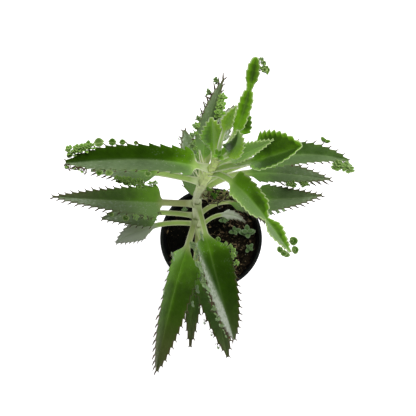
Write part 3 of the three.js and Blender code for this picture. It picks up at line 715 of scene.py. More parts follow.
class Material(Nodes):
    """A material in the making, around one Principled shader."""

    def __init__(self, name):
        self.material = bpy.data.materials.new(name)
        self.material.use_nodes = True
        super().__init__(self.material.node_tree)
        self.shader = self.tree.nodes["Principled BSDF"]
        self.place = self.add("ShaderNodeTexCoord", output=3)

    def attribute(self, name, output=2):
        return self.add("ShaderNodeAttribute", {"attribute_name": name}, output=output)

    def height(self):
        """Height above the floor in millimetres."""
        return self.parts(self.place)[2] * 1000

    def noise(self, size, detail=3.0, rough=0.55, place=None):
        """Smooth noise from 0 to 1 with bumps of the given size in millimetres."""
        values = {"Vector": place or self.place, "Scale": 1 / (size * MM), "Detail": detail,
                  "Roughness": rough}
        return self.add("ShaderNodeTexNoise", values=values)

    def cells(self, size):
        """Distance from the middles of scattered cells of the given size in millimetres."""
        return self.add("ShaderNodeTexVoronoi", values={"Vector": self.place, "Scale": 1 / (size * MM)})

    def bump(self, height, strength, distance):
        """A normal from a height from 0 to 1, distance being its depth in millimetres."""
        values = {"Height": height, "Strength": strength, "Distance": distance * MM}
        return self.add("ShaderNodeBump", values=values)

    def finish(self, **values):
        """Sets or links the shader's sockets, named with underscores for spaces."""
        for key, value in values.items():
            self.put(self.shader.inputs[key.replace("_", " ")], value)
        return self.material


class Growth(Nodes):
    """A geometry node tree in the making. inputs are its named inputs, as name to socket type."""

    def __init__(self, name, inputs):
        tree = bpy.data.node_groups.new(name, "GeometryNodeTree")
        super().__init__(tree)
        tree.interface.new_socket("Geometry", in_out="INPUT", socket_type="NodeSocketGeometry")
        tree.interface.new_socket("Geometry", in_out="OUTPUT", socket_type="NodeSocketGeometry")
        for key, kind in inputs.items():
            tree.interface.new_socket(key, in_out="INPUT", socket_type="NodeSocket" + kind)
        node = tree.nodes.new("NodeGroupInput")
        self.inputs = {socket.name: Field(self, socket) for socket in node.outputs}
        self.end = tree.nodes.new("NodeGroupOutput")

    def __getitem__(self, key):
        return self.inputs[key]

    def named(self, name, kind="FLOAT"):
        """A named attribute of the geometry."""
        return self.add("GeometryNodeInputNamedAttribute", {"data_type": kind}, {"Name": name})

    def random(self, low, high, seed):
        values = {2: low, 3: high, "Seed": seed}
        return self.add("FunctionNodeRandomValue", {"data_type": "FLOAT"}, values, output=1)

    def over(self, value, least):
        """Whether a value is greater than least."""
        settings = {"data_type": "FLOAT", "operation": "GREATER_THAN"}
        return self.add("FunctionNodeCompare", settings, {0: value, 1: least})

    def model(self, key):
        """The geometry of the object that an input names."""
        return self.add(
            "GeometryNodeObjectInfo", {"transform_space": "ORIGINAL"}, {"Object": self[key]}, output=4)

    def scatter(self, points, model, turn, size, seed, material, picked=None):
        """Painted copies of a model on points, each with a shade of its own."""
        placed = self.add("GeometryNodeInstanceOnPoints", values={
            "Points": points, "Instance": model, "Rotation": turn, "Scale": size, **(picked or {})})
        shaded = self.add("GeometryNodeStoreNamedAttribute", {"data_type": "FLOAT", "domain": "INSTANCE"}, {
            "Geometry": placed, "Name": "shade", "Value": self.random(0.0, 1.0, seed)})
        return self.paint(self.add("GeometryNodeRealizeInstances", values={0: shaded}), material)

    def join(self, *geometries):
        node = self.tree.nodes.new("GeometryNodeJoinGeometry")
        for geometry in reversed(geometries):
            self.tree.links.new(geometry.socket, node.inputs[0])
        return Field(self, node.outputs[0])

    def paint(self, geometry, material):
        return self.add("GeometryNodeSetMaterial", values={"Geometry": geometry, "Material": material})

    def finish(self, geometry):
        self.tree.links.new(geometry.socket, self.end.inputs[0])
        return self.tree


def grow(thing, tree, values):
    """Puts a geometry node tree on an object, with values for its named inputs."""
    modifier = thing.modifiers.new(tree.name, "NODES")
    modifier.node_group = tree
    for item in tree.interface.items_tree:
        if item.item_type == "SOCKET" and item.in_out == "INPUT" and item.name in values:
            modifier[item.identifier] = values[item.name]


def margin_growth_tree():
    """Spurs and plantlets on the margin points of a leaf that the attributes spur and pup mark."""
    tree = Growth("Margin growth", {
        "Spur": "Object", "Plantlets": "Collection", "Unevenness": "Float", "Seed": "Int",
        "Blade material": "Material", "Spur material": "Material", "Plantlet material": "Material",
    })
    painted = [tree.paint(tree["Geometry"], tree["Blade material"])]
    kinds = tree.add("GeometryNodeCollectionInfo", {"transform_space": "ORIGINAL"}, {
        "Collection": tree["Plantlets"], "Separate Children": True, "Reset Children": True})
    for mark, model, slim, material, offset in (
            ("spur", tree.model("Spur"), 0.4, "Spur material", 0),
            ("pup", kinds, 1, "Plantlet material", PLANTLET_SEED)):
        size = tree.named(mark)
        points = tree.add("GeometryNodeMeshToPoints", values={
            "Mesh": tree["Geometry"], "Selection": tree.over(size, UNMARKED)})
        outward = tree.add("FunctionNodeAlignRotationToVector", {"axis": "Z"},
                           {"Vector": tree.named("outward", "FLOAT_VECTOR")})
        turned = tree.add("FunctionNodeAlignRotationToVector", {"axis": "Y", "pivot_axis": "Z"},
                          {"Rotation": outward, "Vector": tree.named("upward", "FLOAT_VECTOR")})
        uneven = tree["Unevenness"]
        share = tree.random(1 - uneven, 1 + uneven, tree["Seed"] + offset)
        length = size * share
        across = length ** slim
        scale = tree.add("ShaderNodeCombineXYZ", values={0: across, 1: across, 2: length})
        picked = {} if mark == "spur" else {"Pick Instance": True, "Instance Index": tree.named("kind")}
        painted.append(tree.scatter(
            points, model, turned, scale, tree["Seed"] + offset + 1, tree[material], picked))
    return tree.finish(tree.join(*painted))


def scatter_tree():
    """Bits scattered over the points of a surface that the attribute top marks, half sunk in it."""
    tree = Growth("Soil scatter", {
        "Bit": "Object", "Density": "Float", "Smallest": "Float", "Largest": "Float", "Tilt": "Float",
        "Seed": "Int", "Bit material": "Material",
    })
    # Fewer bits to the left, where litter is low, partly painted shade there.
    points = tree.add("GeometryNodeDistributePointsOnFaces", values={
        "Mesh": tree["Geometry"], "Selection": tree.over(tree.named("top"), 0.9), "Seed": tree["Seed"],
        "Density": tree["Density"] * (tree.named("litter") * 0.85 + 0.15)})
    tilt = tree["Tilt"]
    turn = tree.add("ShaderNodeCombineXYZ", values={
        0: tree.random(0.0, 1.0, tree["Seed"] + 4) * tilt * 2 - tilt,
        1: tree.random(0.0, 1.0, tree["Seed"] + 5) * tilt * 2 - tilt,
        2: tree.random(0.0, 2 * math.pi, tree["Seed"] + 1)})
    small = tree.random(0.0, 1.0, tree["Seed"] + 2) ** 2.0
    size = tree["Smallest"] + (tree["Largest"] - tree["Smallest"]) * small
    bits = tree.scatter(points, tree.model("Bit"), turn, size, tree["Seed"] + 3, tree["Bit material"])
    return tree.finish(tree.join(tree["Geometry"], bits))


def ribbed_stem_tree():
    """A ribbed tube over a line of points, as thick as the attribute thickness says."""
    tree = Growth("Ribbed stem", {
        "Sides": "Int", "Ribs": "Int", "Rib depth": "Float", "Material": "Material"})
    line = tree.add("GeometryNodeMeshToCurve", values={"Mesh": tree["Geometry"]})
    ring = tree.add("GeometryNodeCurvePrimitiveCircle", values={"Resolution": tree["Sides"], "Radius": 1.0})
    index = tree.add("GeometryNodeInputIndex")
    wave = (index * tree["Ribs"] * (2 * math.pi) / tree["Sides"]).math("COSINE")
    place = tree.add("GeometryNodeInputPosition")
    moved = tree.add("ShaderNodeVectorMath", {"operation": "SCALE"}, {
        "Vector": place, "Scale": 1 + wave * tree["Rib depth"]})
    ring = tree.add("GeometryNodeSetPosition", values={"Geometry": ring, "Position": moved})
    tube = tree.add("GeometryNodeCurveToMesh", values={
        "Curve": line, "Profile Curve": ring, "Scale": tree.named("thickness"), "Fill Caps": True})
    return tree.finish(tree.paint(tube, tree["Material"]))


# The pot

def inner_radius(z):
    """Radius of the pot's inner wall at height z."""
    return mix(BASE_RADIUS, SHOULDER_RADIUS, (z - WALL) / (RIM_FOOT - WALL)) - WALL


def wall_point(share, inset=0):
    """A profile point on the tapered wall, a share of the way from its foot up to the rim."""
    return mix(BASE_RADIUS, SHOULDER_RADIUS, share) - inset, RIM_FOOT * share


def pot_profile():
    """The pot's turned profile from the middle of its underside, out and up, and back inside."""
    lip = [
        (RIM_RADIUS - BEAD / 2 + BEAD / 2 * math.cos(angle), POT_HEIGHT - 1.5 + 1.5 * math.sin(angle))
        for angle in np.linspace(-0.2, math.pi + 0.2, 12)
    ]
    return [
        (2, 0.3), (14, 0.3), (14.6, 0), (BASE_RADIUS - 2.2, 0), (BASE_RADIUS - 1, 0.2),
        (BASE_RADIUS - 0.3, 0.8), (BASE_RADIUS, 1.8), wall_point(0.33), wall_point(0.67),
        (SHOULDER_RADIUS - 0.3, RIM_FOOT - 1.4), (SHOULDER_RADIUS - 0.1, RIM_FOOT - 0.5),
        (SHOULDER_RADIUS + 0.3, RIM_FOOT - 0.1), (RIM_RADIUS - RIM_STEP - 0.4, RIM_FOOT),
        (RIM_RADIUS - RIM_STEP, RIM_FOOT + 0.4), (RIM_RADIUS - RIM_STEP + 0.5, RIM_FOOT + 4),
        (RIM_RADIUS - 0.45, RIM_FOOT + 5.6), *lip, (RIM_RADIUS - BEAD + 0.1, POT_HEIGHT - 3),
        (SHOULDER_RADIUS - WALL + 0.5, RIM_FOOT + 1.6), (SHOULDER_RADIUS - WALL, RIM_FOOT),
        wall_point(0.5, WALL), (BASE_RADIUS - WALL + 0.1, 3), (BASE_RADIUS - WALL - 1.2, WALL), (2, WALL),
    ]


def pot_material(settings):
    made = Material("Moulded pot plastic")
    marks = made.noise(26, 5, 0.6)
    fine = made.noise(0.7, 2)
    dried = made.step(marks, 0.5, 0.78) * 0.5 + made.step(made.noise(1.1, 2), 0.62, 0.8) * 0.25
    low = made.step(made.height(), 30.0, 4.0) * 0.4
    colour = made.blend(dried * 0.35 + low * marks, settings.plastic, settings.dust)
    grain = made.bump(fine, 0.12, 0.1)
    rough = 1 - settings.gloss + dried * 0.28 + fine * 0.06
    return made.finish(Base_Color=colour, Roughness=rough, Normal=grain, Specular_IOR_Level=0.45)


# The soil

def soil_height(x, y):
    lump = math.sin(x * 0.21 + 1) * math.cos(y * 0.17) + math.sin(x * 0.09 - y * 0.26 + 2)
    return SOIL_TOP + SOIL_LUMP * lump / 2


def soil_surface():
    """Points and faces of the soil: a crumbly top over a plug that follows the pot's inside."""
    floor = WALL + CLEARANCE
    brim_height = SOIL_TOP - BRIM_DEPTH
    brim = inner_radius(brim_height) - SOIL_GAP
    angles = ring_angles(SOIL_SIDES)
    points, top, litter = [], [], []
    for radius, height in (
            (1, floor), (inner_radius(floor) - 1.5, floor), (inner_radius(floor) - 0.6, floor + 1),
            (inner_radius(30) - SOIL_GAP, 30), (inner_radius(60) - SOIL_GAP, 60), (brim, brim_height)):
        points += [(radius * math.cos(a), radius * math.sin(a), height) for a in angles]
        top += [0] * SOIL_SIDES
        litter += [0] * SOIL_SIDES
    for i in range(SOIL_RINGS):
        share = 1 - i / (SOIL_RINGS - 0.6)
        for a in angles:
            x, y = brim * share * math.cos(a), brim * share * math.sin(a)
            rough = bumps((x, y, 0), 5, 1) * 0.8 + bumps((x, y, 0), 1.7, 2) * 0.5
            edge = smooth(share, 1, 0.93) if share > 0.93 else 1
            points.append((x, y, soil_height(x, y) + rough * edge - (1 - edge) * 0.6))
            top.append(1)
            # litter rises to the right: more dry bits there, and to the left fewer bits over darker mix,
            # partly painted shade under the leaves.
            litter.append(float(smooth(x - 0.4 * y + bumps((x, y, 0), 14, 3) * 14, -22, 26)))
    faces = loft_faces(len(points) // SOIL_SIDES, SOIL_SIDES)
    return points, facing_out(points, faces), {"top": top, "litter": litter}


def crumb(name, seed, stretch):
    """A lumpy bit of soil, one millimetre across and stretched by three shares."""
    chooser = random.Random(seed)
    mesh = bpy.data.meshes.new(name)
    shape = bmesh.new()
    bmesh.ops.create_icosphere(shape, subdivisions=1, radius=0.5 * MM)
    for vert in shape.verts:
        grown = mix(0.72, 1.18, chooser.random())
        vert.co = Vector([part * grown * share for part, share in zip(vert.co, stretch)])
    shape.to_mesh(mesh)
    shape.free()
    mesh.polygons.foreach_set("use_smooth", [True] * len(mesh.polygons))
    return link_object(name, mesh)


def soil_material(settings):
    made = Material("Damp potting mix")
    coarse = made.noise(7, 4)
    fine = made.noise(1.2, 4, 0.7)
    # Drier patches follow litter, so the left stays near-black, partly painted shade.
    dry = made.step(coarse * 0.4 + fine * 0.5 + made.attribute("litter") * 0.25, 0.6, 0.95)
    colour = made.blend(dry, settings.damp, settings.dry)
    return made.finish(
        Base_Color=colour, Roughness=0.78 + fine * 0.2, Normal=made.bump(fine, 0.8, 1.0),
        Specular_IOR_Level=0.35)


def bit_material(name, dark, light, roughness):
    """A material for scattered bits, each of which has its own shade."""
    made = Material(name)
    shade = made.attribute("shade")
    fibre = made.noise(0.8, 3)
    colour = made.blend(shade * 0.75 + fibre * 0.25, dark, light)
    return made.finish(
        Base_Color=colour, Roughness=roughness + fibre * 0.15, Normal=made.bump(fibre, 0.5, 0.3),
        Specular_IOR_Level=0.3)


# The stem

def stem_line_points():
    """The stem's middles, close together, with their radii and how near each is to a leaf's scar."""
    heights = np.arange(STEM_LINE[0][2], STEM_LINE[-1][2] + 0.01, STEM_STEP)
    middles = np.array([stem_middle(z) for z in heights])
    radii = np.array([stem_radius(z) for z in heights])
    scars = np.array([
        max(math.exp(-(((z - row["z"] - SCAR_RISE) / SCAR_REACH) ** 2)) for row in LEAVES)
        for z in heights])
    return middles, radii * (1 - SCAR_DEPTH * scars), scars


def stem_material(settings):
    made = Material("Ribbed green stem")
    # Paler towards the top: partly younger bark and partly a painted highlight.
    young = made.step(made.height(), 235.0, 315.0)
    scar = made.attribute("scar")
    streak = made.noise(2.6, 4, 0.6)
    colour = made.blend(young, settings.old, settings.young)
    colour = made.blend(made.step(streak, 0.45, 0.8) * 0.4, colour, STEM_STREAK)
    specks = made.step(made.noise(1.1, 2), 0.66, 0.8) * (1 - young) * 0.3
    colour = made.blend(specks, colour, STEM_SPECK)
    colour = made.blend(scar * 0.3, colour, settings.scar)
    return made.finish(
        Base_Color=colour, Roughness=0.5 + streak * 0.15, Normal=made.bump(streak, 0.4, 0.3),
        Specular_IOR_Level=0.4)


# The leaves

class LeafLine:
    """A leaf's line from the stem's middle to its tip, with the frame that its sections stand in."""

    def __init__(self, row):
        length = row["petiole"] + row["blade"]
        self.step = length / LINE_STEPS
        place = stem_middle(row["z"])
        frames = []
        for i in range(LINE_STEPS + 1):
            share = i / LINE_STEPS
            turned = 1 - (1 - share) ** row["ease"]
            slope = math.radians(mix(row["rise"], row["fall"], turned))
            compass = math.radians(row["turn"] + row["sweep"] * turned)
            along = pointing(compass, slope)
            right = np.array([math.sin(compass), -math.cos(compass), 0])
            twist = math.radians(row["roll"]) * min(1, share * length / row["petiole"])
            right = right * math.cos(twist) + np.cross(along, right) * math.sin(twist)
            frames.append((place, along, right, np.cross(right, along)))
            place = place + along * self.step
        self.frames = np.array(frames)

    def at(self, distance):
        """Place, along, right and up at each distance from the stem's middle."""
        at = np.clip(np.asarray(distance, float) / self.step, 0, LINE_STEPS - 1e-6)
        i = at.astype(int)
        blend = (at - i)[..., None, None]
        frame = self.frames[i] * (1 - blend) + self.frames[i + 1] * blend
        return frame[..., 0, :], frame[..., 1, :], frame[..., 2, :], frame[..., 3, :]


def blade_half(row, t):
    """Half the blade's width at shares t of its length, without its teeth."""
    grown = smooth(t, -0.01, row["belly"])
    past = np.clip((t - row["belly"]) / (1 - row["belly"]), 0, 1)
    half = row["width"] / 2 * (1 - past ** row["blunt"]) ** FILL
    if row["waist"]:
        middle, share = row["waist"]
        half = half * (1 - share * np.exp(-(((t - middle) / WAIST_REACH) ** 2)))
    return np.maximum(TIP_HALF, mix(row["stalk"], half, grown))


def columns_across(count):
    """Shares from -1, the left margin, to 1, closer together by the rib and by the margins."""
    even = np.linspace(-1, 1, count)
    return even - 0.6 / (2 * math.pi) * np.sin(2 * math.pi * even)


def tooth_table(row, chooser):
    """For each section of the blade: its share t, how far each margin's tooth stands out there,
    how far it leans forward and whether a spur may stand there."""
    table = [(0.0, 0.0, 0.0, 0.0, False), (0.025, 0.0, 0.0, 0.0, False)]
    count = row["teeth"]
    for i in range(count):
        peak = mix(TOOTH_FROM, 1, (i + TOOTH_PEAK) / count)
        size = row["tooth"] * mix(1, TOOTH_AT_TIP, peak) * TOOTH_GROWTH
        left, right = (
            (1 - TOOTH_NOTCH + mix(-0.15, 0.15, chooser.random())) * size for _ in range(2))
        notch = -TOOTH_NOTCH * row["tooth"]
        for phase in TOOTH_PHASES:
            t = mix(TOOTH_FROM, 1, (i + phase) / count)
            rounded = math.sin(math.pi * phase ** 1.45) ** 0.8 if phase else 0
            sharp = (phase / TOOTH_TOP) ** 1.4 if phase <= TOOTH_TOP else ((1 - phase) / TOOTH_FALL) ** 0.8
            stand = mix(rounded, sharp, row["saw"])
            table.append((
                t, notch + (left - notch) * stand, notch + (right - notch) * stand,
                mix(0.3, 0.9, row["saw"]) * size * stand, phase == TOOTH_TOP))
    table.append((0.998, 0.0, 0.0, 0.0, False))
    return table


def leaf_look(row, aside, half, t):
    """Four values for each point: how bright, waxy, pale and olive it is, a darker half being painted
    shade and the waxy coat partly painted sheen. aside is how far from the rib the points are, a row of
    them for each section."""
    bright, left_wax_and_sheen, right_wax_and_sheen, pale, olive = row["look"]
    rightward = smooth(aside, -1.4, 1.4)
    wax_and_sheen = mix(left_wax_and_sheen, right_wax_and_sheen, rightward)
    # Where band is set, the waxy coat spreads from the margins as a painted highlight.
    if row["band"]:
        share = np.abs(aside) / np.maximum(half[:, None] * (1 - row["slim"]), 1)
        wax_and_sheen = wax_and_sheen * smooth(share + t[:, None] * row["band"], 0.7, 1.15)
    look = np.tile((0.0, 0.0, pale, olive), (aside.size, 1))
    look[:, 0] = mix(*both(bright), rightward).reshape(-1)
    look[:, 1] = wax_and_sheen.reshape(-1)
    return look


def margin_marks(row, table, t, sides, outward, forward, lifted, chooser):
    """Marks on the margin points for what grows there: the length of a spur or a plantlet, the
    plantlet's kind and how wan it is, and the directions outward and upward."""
    count = len(t) * sides
    marks = {key: np.zeros(count) for key in ("spur", "pup", "kind", "wan")}
    marks["outward"] = np.tile((0.0, 0.0, 1.0), (count, 1))
    marks["upward"] = np.tile((0.0, 1.0, 0.0), (count, 1))

    def mark(key, station, margin, amount, swing, climb):
        """Marks a margin point for a spur or plantlet and turns its growth outwards."""
        at = station * sides + (sides // 2 if margin == RIGHT else sides) - 1
        aside = outward[station, 0 if margin == RIGHT else 1]
        if amount < 0:
            aside = lifted[station] * 0.35 - aside
        direction = aside + forward[station] * swing + lifted[station] * climb
        marks[key][at] = abs(amount)
        marks["outward"][at] = direction / np.linalg.norm(direction)
        marks["upward"][at] = lifted[station]
        return at

    base = len(t) - len(table)
    tops = [base + i for i, entry in enumerate(table) if entry[4]]
    for margin, start, stop, amount in row["spurs"]:
        for station in tops:
            if start <= t[station] <= stop:
                mark("spur", station, margin, amount, 0.7, 0.15)
    for margin, start, stop, number, sizes, kind, wan in row["pups"]:
        loose = kind > 1
        for i in range(number):
            wanted = mix(start, stop, (i + 0.5) / number)
            amount = mix(*both(sizes), i / max(number - 1, 1))
            if loose:
                amount *= mix(0.8, 1.2, chooser.random())
            station = min(range(base, len(t)), key=lambda one: abs(t[one] - wanted))
            swing = mix(-0.3, 0.3, chooser.random()) * (2 if loose else 1)
            at = mark("pup", station, margin, amount, swing, 0.25 if loose else -0.35)
            marks["kind"][at], marks["wan"][at] = kind, wan
    return marks


def leaf_surface(row, settings, seed):
    """Points, faces and attributes of one leaf: petiole, toothed blade and margins."""
    chooser = random.Random(seed)
    line = LeafLine(row)
    across = columns_across(settings.columns)
    size = np.abs(across)
    columns = len(across)
    reach = stem_radius(row["z"])

    table = tooth_table(row, chooser)
    petiole = np.linspace(reach * PETIOLE_START, row["petiole"], PETIOLE_SECTIONS)[:-1]
    blank = len(petiole)
    t = np.concatenate([(petiole - row["petiole"]) / row["blade"], [entry[0] for entry in table]])
    stand = np.zeros((len(t), columns))
    lean = np.zeros(len(t))
    for i, entry in enumerate(table):
        stand[blank + i] = np.where(across < 0, entry[1], entry[2])
        lean[blank + i] = entry[3]
    distance = row["petiole"] + t * row["blade"]
    half = blade_half(row, t)
    halves = half[:, None] * np.where(across > 0, 1 - row["slim"], 1)

    # The blade's section: two raised halves with a soft bulge in each, and a waving margin
    blade = smooth(distance, row["petiole"] * 0.8, row["petiole"] + row["blade"] * 0.1)
    fading = 1 - smooth(t, 0.9, 1.0)
    lift = math.radians(row["fold"]) * smooth(t, FOLD_FROM, FOLD_TO)
    margin = np.maximum(TIP_HALF, halves + stand)
    width = size * halves + size ** MARGIN_POWER * (margin - halves)
    lobes = np.where(across < 0, row["lobes"][1], row["lobes"][0])
    lag = lobes * half[:, None] * np.exp(-((t[:, None] / LOBE_REACH) ** 2)) * size
    places = distance[:, None] - lag + lean[:, None] * size ** MARGIN_POWER
    place, along, right, up = line.at(places)
    side = np.sign(across)[None, :] * width * np.cos(lift)[:, None]
    height = width * np.sin(lift)[:, None] * np.where(size > 0, size, 1) ** 0.2
    plump = settings.plump / MM * np.sin(math.pi * size) * (blade * fading)[:, None]
    waving = np.array([
        [bumps((d, 40 * np.sign(s), 0), 16, seed) * s * s for s in across] for d in distance])
    height = height + plump + waving * (settings.wave / MM) * (blade * fading)[:, None]
    rib = mix(*RIB_UNDER, np.clip(t, 0, 1))[:, None]
    crest = np.exp(-((width / CREST_WIDTH) ** 2))
    thin = mix(EDGE_THICK / 2, MARGIN_HALF, smooth(size, 0.88, 1))[None, :]
    crease = 0.5 - 0.35 * min(1, row["look"][3])
    top = thin - crease * np.exp(-((width / CREASE_WIDTH) ** 2)) * (half > 2)[:, None]
    under = thin + (rib - thin) * (0.3 * (1 - size) + 0.7 * crest)

    # The petiole's section: round below and grooved above
    joint = 1 + JOINT_SWELL * np.exp(-(((distance - reach * 0.6) / JOINT_LENGTH) ** 2))
    stalk = row["stalk"] * joint[:, None]
    stalk_top = stalk * (0.2 + 0.4 * size ** 2)
    stalk_under = stalk * (0.55 - 1.3 * np.sqrt(1 - 0.985 * size ** 2))
    stalk_place, _, stalk_right, stalk_up = line.at(distance[:, None] + 0 * size)

    skins = []
    for blade_height, stalk_height in ((height + top, stalk_top), (height - under, stalk_under)):
        on_blade = place + right * side[..., None] + up * blade_height[..., None]
        on_stalk = stalk_place + stalk_right * (across * stalk)[..., None]
        on_stalk += stalk_up * stalk_height[..., None]
        skins.append(on_blade * blade[:, None, None] + on_stalk * (1 - blade)[:, None, None])
    upper, lower = skins
    middle = (upper + lower) / 2
    outward = middle[:, [-1, 0]] - middle[:, [-3, 2]]
    outward /= np.linalg.norm(outward, axis=2)[..., None]
    rims = middle[:, [-1, 0]] + outward * mix(0.1 * stalk, 0.3, blade[:, None])[..., None]
    grid = np.concatenate([upper, rims[:, :1], lower[:, ::-1], rims[:, 1:]], axis=1)
    sides = grid.shape[1]
    points = grid.reshape(-1, 3)

    # Values for the material: place on the surface in millimetres, and which side
    edge = np.maximum(0, margin - width)
    flat = np.stack([np.sign(across) * width, distance[:, None] + 0 * size, edge], axis=2)
    rim_flat = flat[:, [-1, 0]]
    surface = np.concatenate([flat, rim_flat[:, :1], flat[:, ::-1], rim_flat[:, 1:]], axis=1)
    below = np.concatenate([np.zeros(columns), [0.5], np.ones(columns), [0.5]])
    attributes = {
        "surface": surface.reshape(-1, 3),
        "below": np.tile(below, len(t)),
        "length": np.repeat(t, sides),
        "blade": np.repeat(blade, sides),
    }
    attributes["look"] = leaf_look(row, surface[..., 0], half, t)
    attributes.update(margin_marks(row, table, t, sides, outward, along[:, 0], up[:, 0], chooser))
    return points, facing_out(points, loft_faces(len(t), sides)), attributes


def leaf_age(number):
    """The slot of a leaf, by its number from the top of the plant."""
    if number < YOUNG_LEAVES:
        return "young_leaf"
    return "mature_leaf" if number < OLD_FROM else "old_leaf"


def leaf_material(name, settings, dull):
    made = Material(name)
    across, along, edge = made.parts(made.attribute("surface", 1))
    bright, wax_and_sheen, pale = made.parts(made.attribute("look", 0))
    olive = made.attribute("look", 3)
    below = made.attribute("below")
    length = made.attribute("length")
    blade = made.attribute("blade")
    wide = across.math("ABSOLUTE")

    patches = made.noise(11, 3)
    mottle = made.noise(2.6, 4, 0.65)
    fine = made.noise(0.5, 2)
    streaks = made.noise(1, 3, place=made.add(
        "ShaderNodeCombineXYZ", values={0: across * 0.0016, 1: along * 0.0003, 2: below}))

    # freshness_and_shade: how fresh the green is, with painted shade where a leaf's halves differ.
    freshness_and_shade = bright + (patches - 0.5) * 0.6 + made.step(length, 0.4, 0.05) * 0.5
    freshness_and_shade = freshness_and_shade + made.step(edge, 4.5, 0.5) * pale * 0.5 + made.step(wide, 4.5, 0.5) * 0.12
    green = made.blend(made.step(freshness_and_shade, -0.1, 0.4), settings.dark, settings.deep)
    green = made.blend(made.step(freshness_and_shade, 0.35, 1.0), green, settings.bright)
    green = made.blend(made.step(freshness_and_shade, 0.9, 2.4), green, settings.lime)
    aged = olive * (0.5 + made.step(length, 0.4, 1.0) * 1.5) + (mottle - 0.5) * 0.4
    green = made.blend(made.step(aged, 0.1, 1.1), green, settings.olive)
    green = made.blend((mottle - 0.5).math("ABSOLUTE") * 0.8, green, LEAF_MOTTLE)
    # The waxy coat: partly real, partly painted sheen where one half is waxier, and at its thickest a
    # painted highlight.
    bloom_and_sheen = wax_and_sheen * made.step(wax_and_sheen * 0.35 + patches * 0.35 + streaks * 0.35 + mottle * 0.25, 0.3, 0.85)
    bloom_and_sheen = bloom_and_sheen * (0.55 + length * 0.9)
    green = made.blend(bloom_and_sheen * 0.85, green, settings.wax_and_sheen)
    silver_and_highlight_share = wax_and_sheen + (streaks - 0.5) * 1.6 + (mottle - 0.5) * 1.5 + (length - 0.5) * 0.5
    green = made.blend(made.step(silver_and_highlight_share, 1.0, 1.8) * 0.9, green, settings.silver_bloom_and_highlight)
    specks = made.step(made.cells(1.7), 0.3, 0.12) * made.step(patches, 0.45, 0.6)
    green = made.blend(specks * made.step(length, 0.5, 0.1) * 0.35, green, settings.silver_bloom_and_highlight)

    # The rib and faint veins that leave it slantwise
    vein = (along - wide * 1.15) / 6.5 + (mottle - 0.5) * 0.12
    vein = (vein.math("FRACT") - 0.5).math("ABSOLUTE")
    veined = made.step(vein, 0.09, 0.0) * made.step(wide, 0.8, 2.5) * 0.012
    rib = made.step(wide, 1.6, 0.2)
    green = made.blend((veined + rib * 0.07) * made.step(length, 1.0, 0.5), green, settings.pale)

    # Pale margins, and the petiole where the blade's green runs out
    brown = made.step(edge + (mottle - 0.5) * 2.4, 2.0, 0.0) * made.step(olive, 0.0, 0.4)
    green = made.blend(brown * made.step(length, 0.0, 0.6) * 0.8, green, settings.edge)
    margin = made.step(edge / (pale + 0.2) + (mottle - 0.5) * 0.4, 0.8, 0.15) * pale
    green = made.blend(margin * 0.85, green, settings.pale)
    lower = made.blend(made.step(mottle, 0.35, 0.75) * 0.5, settings.under, UNDER_MOTTLE)
    flecks = made.step(made.cells(3.2), 0.34, 0.12) * made.step(patches, 0.45, 0.65)
    lower = made.blend(flecks * 0.5, lower, UNDER_FLECK)
    colour = made.blend(below, green, lower)
    # The petiole's near-white edges are a painted highlight, and its darker groove partly painted shade.
    groove = made.step(edge, 0.5, 1.2) * (1 - below)
    lines = made.step(streaks, 0.45, 0.75) * 0.35 + made.step(mottle, 0.4, 0.8) * 0.2
    stalk = made.blend(groove + lines, settings.stalk, settings.groove)
    stalk = made.blend(olive * 1.1, stalk, OLD_PETIOLE)
    stalk = made.blend(made.step(along, 12.0, 5.0) * 0.7, stalk, settings.stalk)
    colour = made.blend(made.step(blade, 1.0, 0.15), colour, stalk)

    relief = patches * 0.25 + mottle * 0.45 + fine * 0.3 - veined
    rough = settings.rough + dull + bloom_and_sheen * 0.22 + (mottle - 0.5) * 0.1
    return made.finish(
        Base_Color=colour, Roughness=rough, Normal=made.bump(relief, 0.6, 0.8),
        Specular_IOR_Level=0.5, Sheen_Weight=0.03, Sheen_Roughness=0.5)


def plantlet_material(name, green, heart, stalk):
    made = Material(name)
    shade = made.attribute("shade")
    woody = made.attribute("stalk")
    mottle = made.noise(1.4, 3)
    wan = made.attribute("wan")
    rim = made.attribute("rim")
    inner = made.blend(made.attribute("deep"), green, PLANTLET_DEEP)
    colour = made.blend(made.step(mottle * 0.5 + shade * 0.5, 0.4, 1.0) * 0.25 + rim * 0.75, inner, heart)
    colour = made.blend(wan * 0.85, colour, made.blend(shade, WAN_DARK, WAN_PALE))
    colour = made.blend(woody, colour, stalk)
    return made.finish(
        Base_Color=colour, Roughness=0.42 + mottle * 0.15, Normal=made.bump(mottle, 0.3, 0.3),
        Specular_IOR_Level=0.5, Sheen_Weight=0.1)


def spur_material(settings):
    made = Material("Brown spur")
    shade = made.attribute("shade")
    grain = made.noise(0.6, 3)
    colour = made.blend(shade * 0.6 + grain * 0.4, settings.spur, SPUR_PALE)
    return made.finish(Base_Color=colour, Roughness=0.55, Normal=made.bump(grain, 0.3, 0.2))


def spur_model():
    """A spur one millimetre long that stands on the origin along +Z."""
    sprig = Sprig()
    path = [(0, 0, -0.15), (0, 0, 0.15), (0.02, 0.01, 0.5), (0.07, 0.02, 0.8), (0.12, 0.03, 1)]
    sprig.tube(path, [0.42, 0.4, 0.3, 0.2, 0.07], 1)
    return sprig.make("spur_model")


